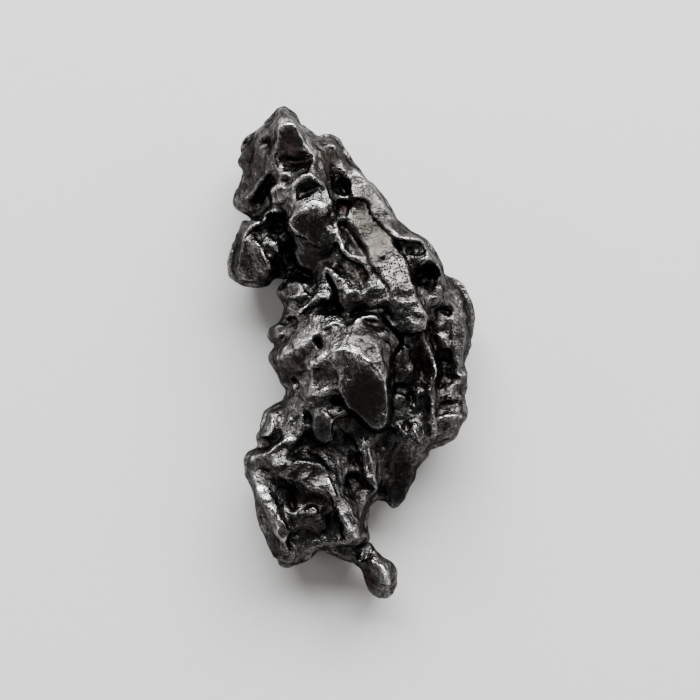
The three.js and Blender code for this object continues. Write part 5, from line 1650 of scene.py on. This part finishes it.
    def _thin(self, piece: bpy.types.Object) -> None:
        """Collapse the least needed edges until the piece is under its triangle limit, and shade it smooth.

        Args:
            piece: the piece.
        """
        now = 2 * len(piece.data.polygons)
        if now > self.most_triangles:
            thin = piece.modifiers.new("thin", "DECIMATE")
            thin.ratio = self.most_triangles / now
            graph = bpy.context.evaluated_depsgraph_get()
            mesh = bpy.data.meshes.new_from_object(piece.evaluated_get(graph))
            piece.modifiers.clear()
            old, piece.data = piece.data, mesh
            bpy.data.meshes.remove(old)
        piece.data.polygons.foreach_set("use_smooth", np.ones(len(piece.data.polygons), bool))
        LOG.info("piece: %d polygons", len(piece.data.polygons))

    def _sample(self, volume: np.ndarray, p: np.ndarray) -> np.ndarray:
        """Read a volume at places, linear between its cells.

        Args:
            volume: the values at the field's points.
            p: the places, in fragment millimetres.

        Returns:
            The values at the places.
        """
        u = [np.clip((p[:, i] - self.axes[i][0]) / self.cell, 0, volume.shape[i] - 1.001) for i in range(3)]
        n = [q.astype(int) for q in u]
        t = [q - m for q, m in zip(u, n)]
        total = np.zeros(len(p))
        for i in (0, 1):
            for j in (0, 1):
                for k in (0, 1):
                    near_x, near_y, near_z = (q if far else 1 - q for q, far in zip(t, (i, j, k)))
                    total += near_x * near_y * near_z * volume[n[0] + i, n[1] + j, n[2] + k]
        return total

    def _note_marks(self, piece: bpy.types.Object) -> None:
        """Write the piece's attributes: how proud, sunk and sheltered each corner is, and its patches.

        How full of iron the space round a corner is, at three sizes, is half on a flat face, less on a
        crest and more in a hollow. The crest is 5 times what the smallest lacks of 0.47 plus 3 times what
        the middle one lacks of it. The hollow is 4.5 times what the middle one has over 0.52, and the deep
        gap 4.5 times what the widest has over 0.54. Patches fade out where the skin turns down.

        Args:
            piece: the piece.
        """
        mesh = piece.data
        flat = np.empty(len(mesh.vertices) * 3)
        mesh.vertices.foreach_get("co", flat)
        middle = (self.low + self.high) / 2
        p = (flat.reshape(-1, 3) - (middle.x, middle.y, self.low.z)) / self.scale - (*self.shift, 0)
        full = (self.field < 0).astype(np.float32)
        cells = (max(1, round(self.near_reach / self.cell)), max(1, round(self.mid_reach / self.cell)),
                 max(2, round(self.wide_reach / self.cell)))
        near, mid, wide = (
            self._sample(box_blur(box_blur(full, r, (0, 1, 2)), r, (0, 1, 2)), p) for r in cells)
        turn = np.empty(len(mesh.vertices) * 3)
        mesh.vertices.foreach_get("normal", turn)
        facing = turn.reshape(-1, 3)[:, 2]
        upward = np.clip(facing * 2, 0, 1)
        values = {
            "crest": np.clip((0.47 - near) * 5 + (0.47 - mid) * 3, 0, 1),
            # The hollow and deep masks mark sunk places, which the iron darkens with painted shade.
            "hollow": np.clip((mid - 0.52) * 4.5, 0, 1),
            "deep": np.clip((wide - 0.54) * 4.5, 0, 1),
            # The side mask darkens the steep skin a little with painted shade, and sets its mottle, roughness
            # and bump.
            "side": np.clip(1 - 1.7 * facing, 0, 1),
            # Painted highlights along the crest edges, on upward faces only.
            "worn": streak_mask(PAINTED_HIGHLIGHTS, p[:, 0], p[:, 1]) * upward,
        }
        # The bright patches are painted light and the dim ones painted shade; stain, sand, calm and pores are
        # the iron's own.
        tables = {
            "painted_light": PAINTED_LIGHT, "dim": PAINTED_SHADE, "stain": STAINED, "sand": SANDY, "calm": SMOOTH, "pores": PORED,
        }
        for name, table in tables.items():
            values[name] = patch_mask(table, p[:, 0], p[:, 1]) * upward
        for name, value in values.items():
            layer = mesh.attributes.new(name, "FLOAT", "POINT")
            layer.data.foreach_set("value", value.astype(np.float32))

    def _iron(self) -> bpy.types.Material:
        """Dress the iron.

        Returns:
            The material.
        """
        look = self.finish
        material = bpy.data.materials.new("torn iron")
        material.use_nodes = True
        material.node_tree.nodes.clear()
        n = Nodes(material.node_tree)
        out = n.add("ShaderNodeOutputMaterial")
        iron = n.add("ShaderNodeBsdfPrincipled")
        iron.inputs["Specular Tint"].default_value = colour(look.edge_tint)
        iron.inputs["Metallic"].default_value = 1.0
        n.feed(out.inputs["Surface"], iron.outputs["BSDF"])
        place = n.add("ShaderNodeTexCoord").outputs["Object"]
        marks = {name: n.attribute(name) for name in (
            "crest", "hollow", "deep", "painted_light", "dim", "worn", "stain", "sand", "calm", "pores", "side")}
        fine, coarse, streak, hole = self._textures(n, place, marks["pores"])

        # The shade carries painted light and shade: the weights lift the crests and, with painted light, the
        # bright patches, and darken the hollows, deep gaps, dim patches and steep sides with painted shade.
        shade: object = look.middle
        for name, weight in look.weights:
            shade = n.maths("MULTIPLY_ADD", marks[name], weight, shade)
        # Painted highlights along the crest edges, broken up by the coarse mottle.
        highlight_streak = n.maths("MULTIPLY", marks["worn"], n.between(coarse["Mottle"], *look.highlight_spread))
        shade = n.maths("MULTIPLY_ADD", highlight_streak, look.highlight_gain, shade)
        for grain, ends in ((coarse, look.coarse_swing), (fine, look.fine_swing)):
            swing = n.maths("SUBTRACT", grain["Mottle"], 0.5)
            shade = n.maths("MULTIPLY_ADD", swing, n.between(marks["side"], *ends), shade)
        shade = n.maths("MULTIPLY_ADD", n.maths("SUBTRACT", streak, 0.5), look.streak_swing, shade)
        shade = n.maths("MULTIPLY_ADD", hole, look.pore_shade, shade, clamp=True)
        n.feed(iron.inputs["Base Color"], self._tones(n, shade, marks, coarse["Mottle"], hole))

        rough = n.maths("MULTIPLY_ADD", shade, look.rough_crest - look.rough_hollow, look.rough_hollow)
        swing = n.maths("SUBTRACT", fine["Mottle"], 0.5)
        rough = n.maths("MULTIPLY_ADD", swing, look.rough_swing, rough, clamp=True)
        rough = n.maths("MULTIPLY_ADD", marks["sand"], look.rough_sand, rough)
        n.feed(iron.inputs["Roughness"], n.maths("MULTIPLY_ADD", marks["side"], look.rough_side, rough))

        height = n.maths("MULTIPLY_ADD", coarse["Height"], look.coarse_height, fine["Height"])
        height = n.maths("MULTIPLY_ADD", streak, look.streak_height, height)
        for name, end in look.height_ends:
            height = n.maths("MULTIPLY", height, n.between(marks[name], 1.0, end))
        height = n.maths("MULTIPLY_ADD", hole, look.pore_height, height)
        bump = n.add("ShaderNodeBump")
        bump.inputs["Strength"].default_value = 1.0
        bump.inputs["Distance"].default_value = look.relief
        n.feed(bump.inputs["Height"], height)
        n.feed(iron.inputs["Normal"], bump.outputs["Normal"])
        return material

    def _textures(self, n: Nodes, place: bpy.types.NodeSocket, porous: bpy.types.NodeSocket
                  ) -> tuple[object, ...]:
        """Lay the two grains, noise drawn out along a slant, and round pores.

        A pore is 1.75 - 5 times the distance to the nearest cell middle, kept in 0 to 1.

        Args:
            n: the node tree.
            place: the piece's own coordinates.
            porous: the mask of the porous places.

        Returns:
            The outputs of the fine and the coarse grain, and the outputs for the streaks and the pores.
        """
        look = self.finish
        grains = []
        for size in (look.fine_grain, look.coarse_grain):
            node = n.add("ShaderNodeGroup", node_tree=self.grain)
            n.feed(node.inputs["Place"], place)
            for name, value in zip(("Fineness", "Bite"), size):
                node.inputs[name].default_value = value
            grains.append(node.outputs)
        lean = n.add("ShaderNodeMapping")
        n.feed(lean.inputs["Vector"], place)
        lean.inputs["Rotation"].default_value = (0.3, 0.2, math.radians(look.streak_turn))
        lean.inputs["Scale"].default_value = look.streak_scale
        streak = n.add("ShaderNodeTexNoise")
        n.feed(streak.inputs["Vector"], lean.outputs["Vector"])
        streak.inputs["Scale"].default_value = 1.0
        streak.inputs["Detail"].default_value = 3.0
        cells = n.add("ShaderNodeTexVoronoi")
        n.feed(cells.inputs["Vector"], place)
        cells.inputs["Scale"].default_value = look.pore_scale
        hole = n.maths("MULTIPLY_ADD", cells.outputs["Distance"], -5.0, 1.75, clamp=True)
        return *grains, streak.outputs["Fac"], n.maths("MULTIPLY", hole, porous)

    def _tones(self, n: Nodes, shade: bpy.types.NodeSocket, marks: dict[str, bpy.types.NodeSocket],
               mottle: bpy.types.NodeSocket, hole: bpy.types.NodeSocket) -> bpy.types.NodeSocket:
        """Turn the shade into a colour, with rust in the stained hollows and sand on the crusted places.

        Args:
            n: the node tree.
            shade: how light the metal is, its painted light and shade included.
            marks: the piece's masks by name.
            mottle: the coarse mottle.
            hole: the pores.

        Returns:
            The colour's output.
        """
        look = self.finish
        # The ramp turns low shade into the black of painted shade and high shade into the white of painted
        # highlights.
        ramp = n.add("ShaderNodeValToRGB")
        ramp.color_ramp.elements[0].position = 0.0
        ramp.color_ramp.elements[0].color = colour(look.shadow_black)
        ramp.color_ramp.elements[1].position = 1.0
        ramp.color_ramp.elements[1].color = colour(look.worn)
        for at, tone in zip(look.tone_places, (look.dark, look.plain, look.light)):
            ramp.color_ramp.elements.new(at).color = colour(tone)
        n.feed(ramp.inputs["Fac"], shade)
        rusty = n.maths("MULTIPLY", marks["stain"], n.maths("MULTIPLY_ADD", mottle, 0.6, 0.35), clamp=True)
        low = n.maths("SUBTRACT", 1.0, marks["crest"], clamp=True)
        tinted = n.blend(n.maths("MULTIPLY", rusty, low), ramp.outputs["Color"], colour(look.stain))
        crust = n.maths("MULTIPLY_ADD", hole, -0.9, n.between(mottle, 0.35, 1.15))
        return n.blend(n.maths("MULTIPLY", marks["sand"], crust, clamp=True), tinted, colour(look.sand))


@dataclass(frozen=True)
class Lamp:
    """One soft box, aimed at the fragment.

    Args:
        name: its name.
        at: where it hangs, in metres.
        size: its width and height, in metres.
        power: its power, in watts.
    """

    name: str
    at: Point
    size: Point
    power: float


@dataclass(frozen=True)
class Studio:
    """The table, the lights and the camera, in metres.

    A large soft window hangs beyond the head, a weak fill on each side, and the room is dim. The camera
    hangs over the place called aim, at a height over the middle of the fragment, mid, where its view is
    field_of_view wide.
    """

    finish: PaperFinish
    grain: bpy.types.NodeTree
    half: float = 2.0
    drop: float = 0.00002
    lamps: tuple[Lamp, ...] = (
        Lamp("window", (0.05, 0.50, 0.45), (0.90, 0.42), 18.0),
        Lamp("left_fill", (-0.55, 0.10, 0.25), (0.30, 0.30), 1.0),
        Lamp("right_fill", (0.55, 0.10, 0.30), (0.30, 0.30), 1.0),
    )
    room_tint: Point = (1.0, 0.99, 0.97)
    room_strength: float = 0.155
    height: float = 0.26
    mid: float = 0.009
    field_of_view: float = 0.0771
    aim: Point = (-0.00002, 0.00050)
    nearest: float = 0.01

    def build(self) -> bpy.types.Object:
        """Make the table, the lights and the camera.

        Returns:
            The table.
        """
        table = self._table()
        for lamp in self.lamps:
            self._hang(lamp)
        self._light_room()
        self._camera()
        return table

    def _table(self) -> bpy.types.Object:
        """Lay the sheet that the fragment lies on.

        Returns:
            The sheet.
        """
        look = self.finish
        turns = ((-1, -1), (1, -1), (1, 1), (-1, 1))
        corners = [(x * self.half, y * self.half, -self.drop) for x, y in turns]
        mesh = bpy.data.meshes.new("table")
        mesh.from_pydata(corners, [], [(0, 1, 2, 3)])
        table = bpy.data.objects.new("table", mesh)
        bpy.context.scene.collection.objects.link(table)
        material = bpy.data.materials.new("pale paper")
        material.use_nodes = True
        n = Nodes(material.node_tree)
        paper = material.node_tree.nodes["Principled BSDF"]
        paper.inputs["Roughness"].default_value = look.roughness
        place = n.add("ShaderNodeTexCoord").outputs["Object"]
        grain = n.add("ShaderNodeGroup", node_tree=self.grain)
        n.feed(grain.inputs["Place"], place)
        for name, value in zip(("Fineness", "Bite"), look.grain):
            grain.inputs[name].default_value = value
        darker = tuple(c * look.fade for c in look.shade)
        mottled = n.blend(grain.outputs["Mottle"], colour(darker), colour(look.shade))
        n.feed(paper.inputs["Base Color"], mottled)
        bump = n.add("ShaderNodeBump")
        bump.inputs["Strength"].default_value = look.strength
        bump.inputs["Distance"].default_value = look.relief
        n.feed(bump.inputs["Height"], grain.outputs["Height"])
        n.feed(paper.inputs["Normal"], bump.outputs["Normal"])
        mesh.materials.append(material)
        return table

    def _hang(self, lamp: Lamp) -> None:
        """Hang one soft box.

        Args:
            lamp: the soft box.
        """
        data = bpy.data.lights.new(lamp.name, "AREA")
        data.shape = "RECTANGLE"
        data.size, data.size_y = lamp.size
        data.energy = lamp.power
        hung = bpy.data.objects.new(lamp.name, data)
        hung.location = lamp.at
        aim = Vector((0, 0, self.mid)) - Vector(lamp.at)
        hung.rotation_euler = aim.to_track_quat("-Z", "Y").to_euler()
        bpy.context.scene.collection.objects.link(hung)

    def _light_room(self) -> None:
        """Fill the room with dim even light."""
        world = bpy.data.worlds.new("room")
        world.use_nodes = True
        background = world.node_tree.nodes["Background"]
        background.inputs["Color"].default_value = colour(self.room_tint)
        background.inputs["Strength"].default_value = self.room_strength
        bpy.context.scene.world = world

    def _camera(self) -> None:
        """Hang the camera straight above the fragment, its head towards the top of the view."""
        data = bpy.data.cameras.new("camera")
        data.lens = self.height * data.sensor_width / self.field_of_view
        data.clip_start = self.nearest
        camera = bpy.data.objects.new("camera", data)
        camera.location = (*self.aim, self.height + self.mid)
        bpy.context.scene.collection.objects.link(camera)
        bpy.context.scene.camera = camera


def main() -> None:
    """Build the fragment, the table, the lights and the camera in order."""
    logging.basicConfig(level=logging.INFO, format="%(name)s: %(message)s")
    grain = SurfaceGrain().group()
    piece = Meteorite(IronFinish(), grain).build()
    LOG.info("built %s", piece.name)
    table = Studio(PaperFinish(), grain).build()
    LOG.info("built %s", table.name)


if __name__ == "__main__":
    main()
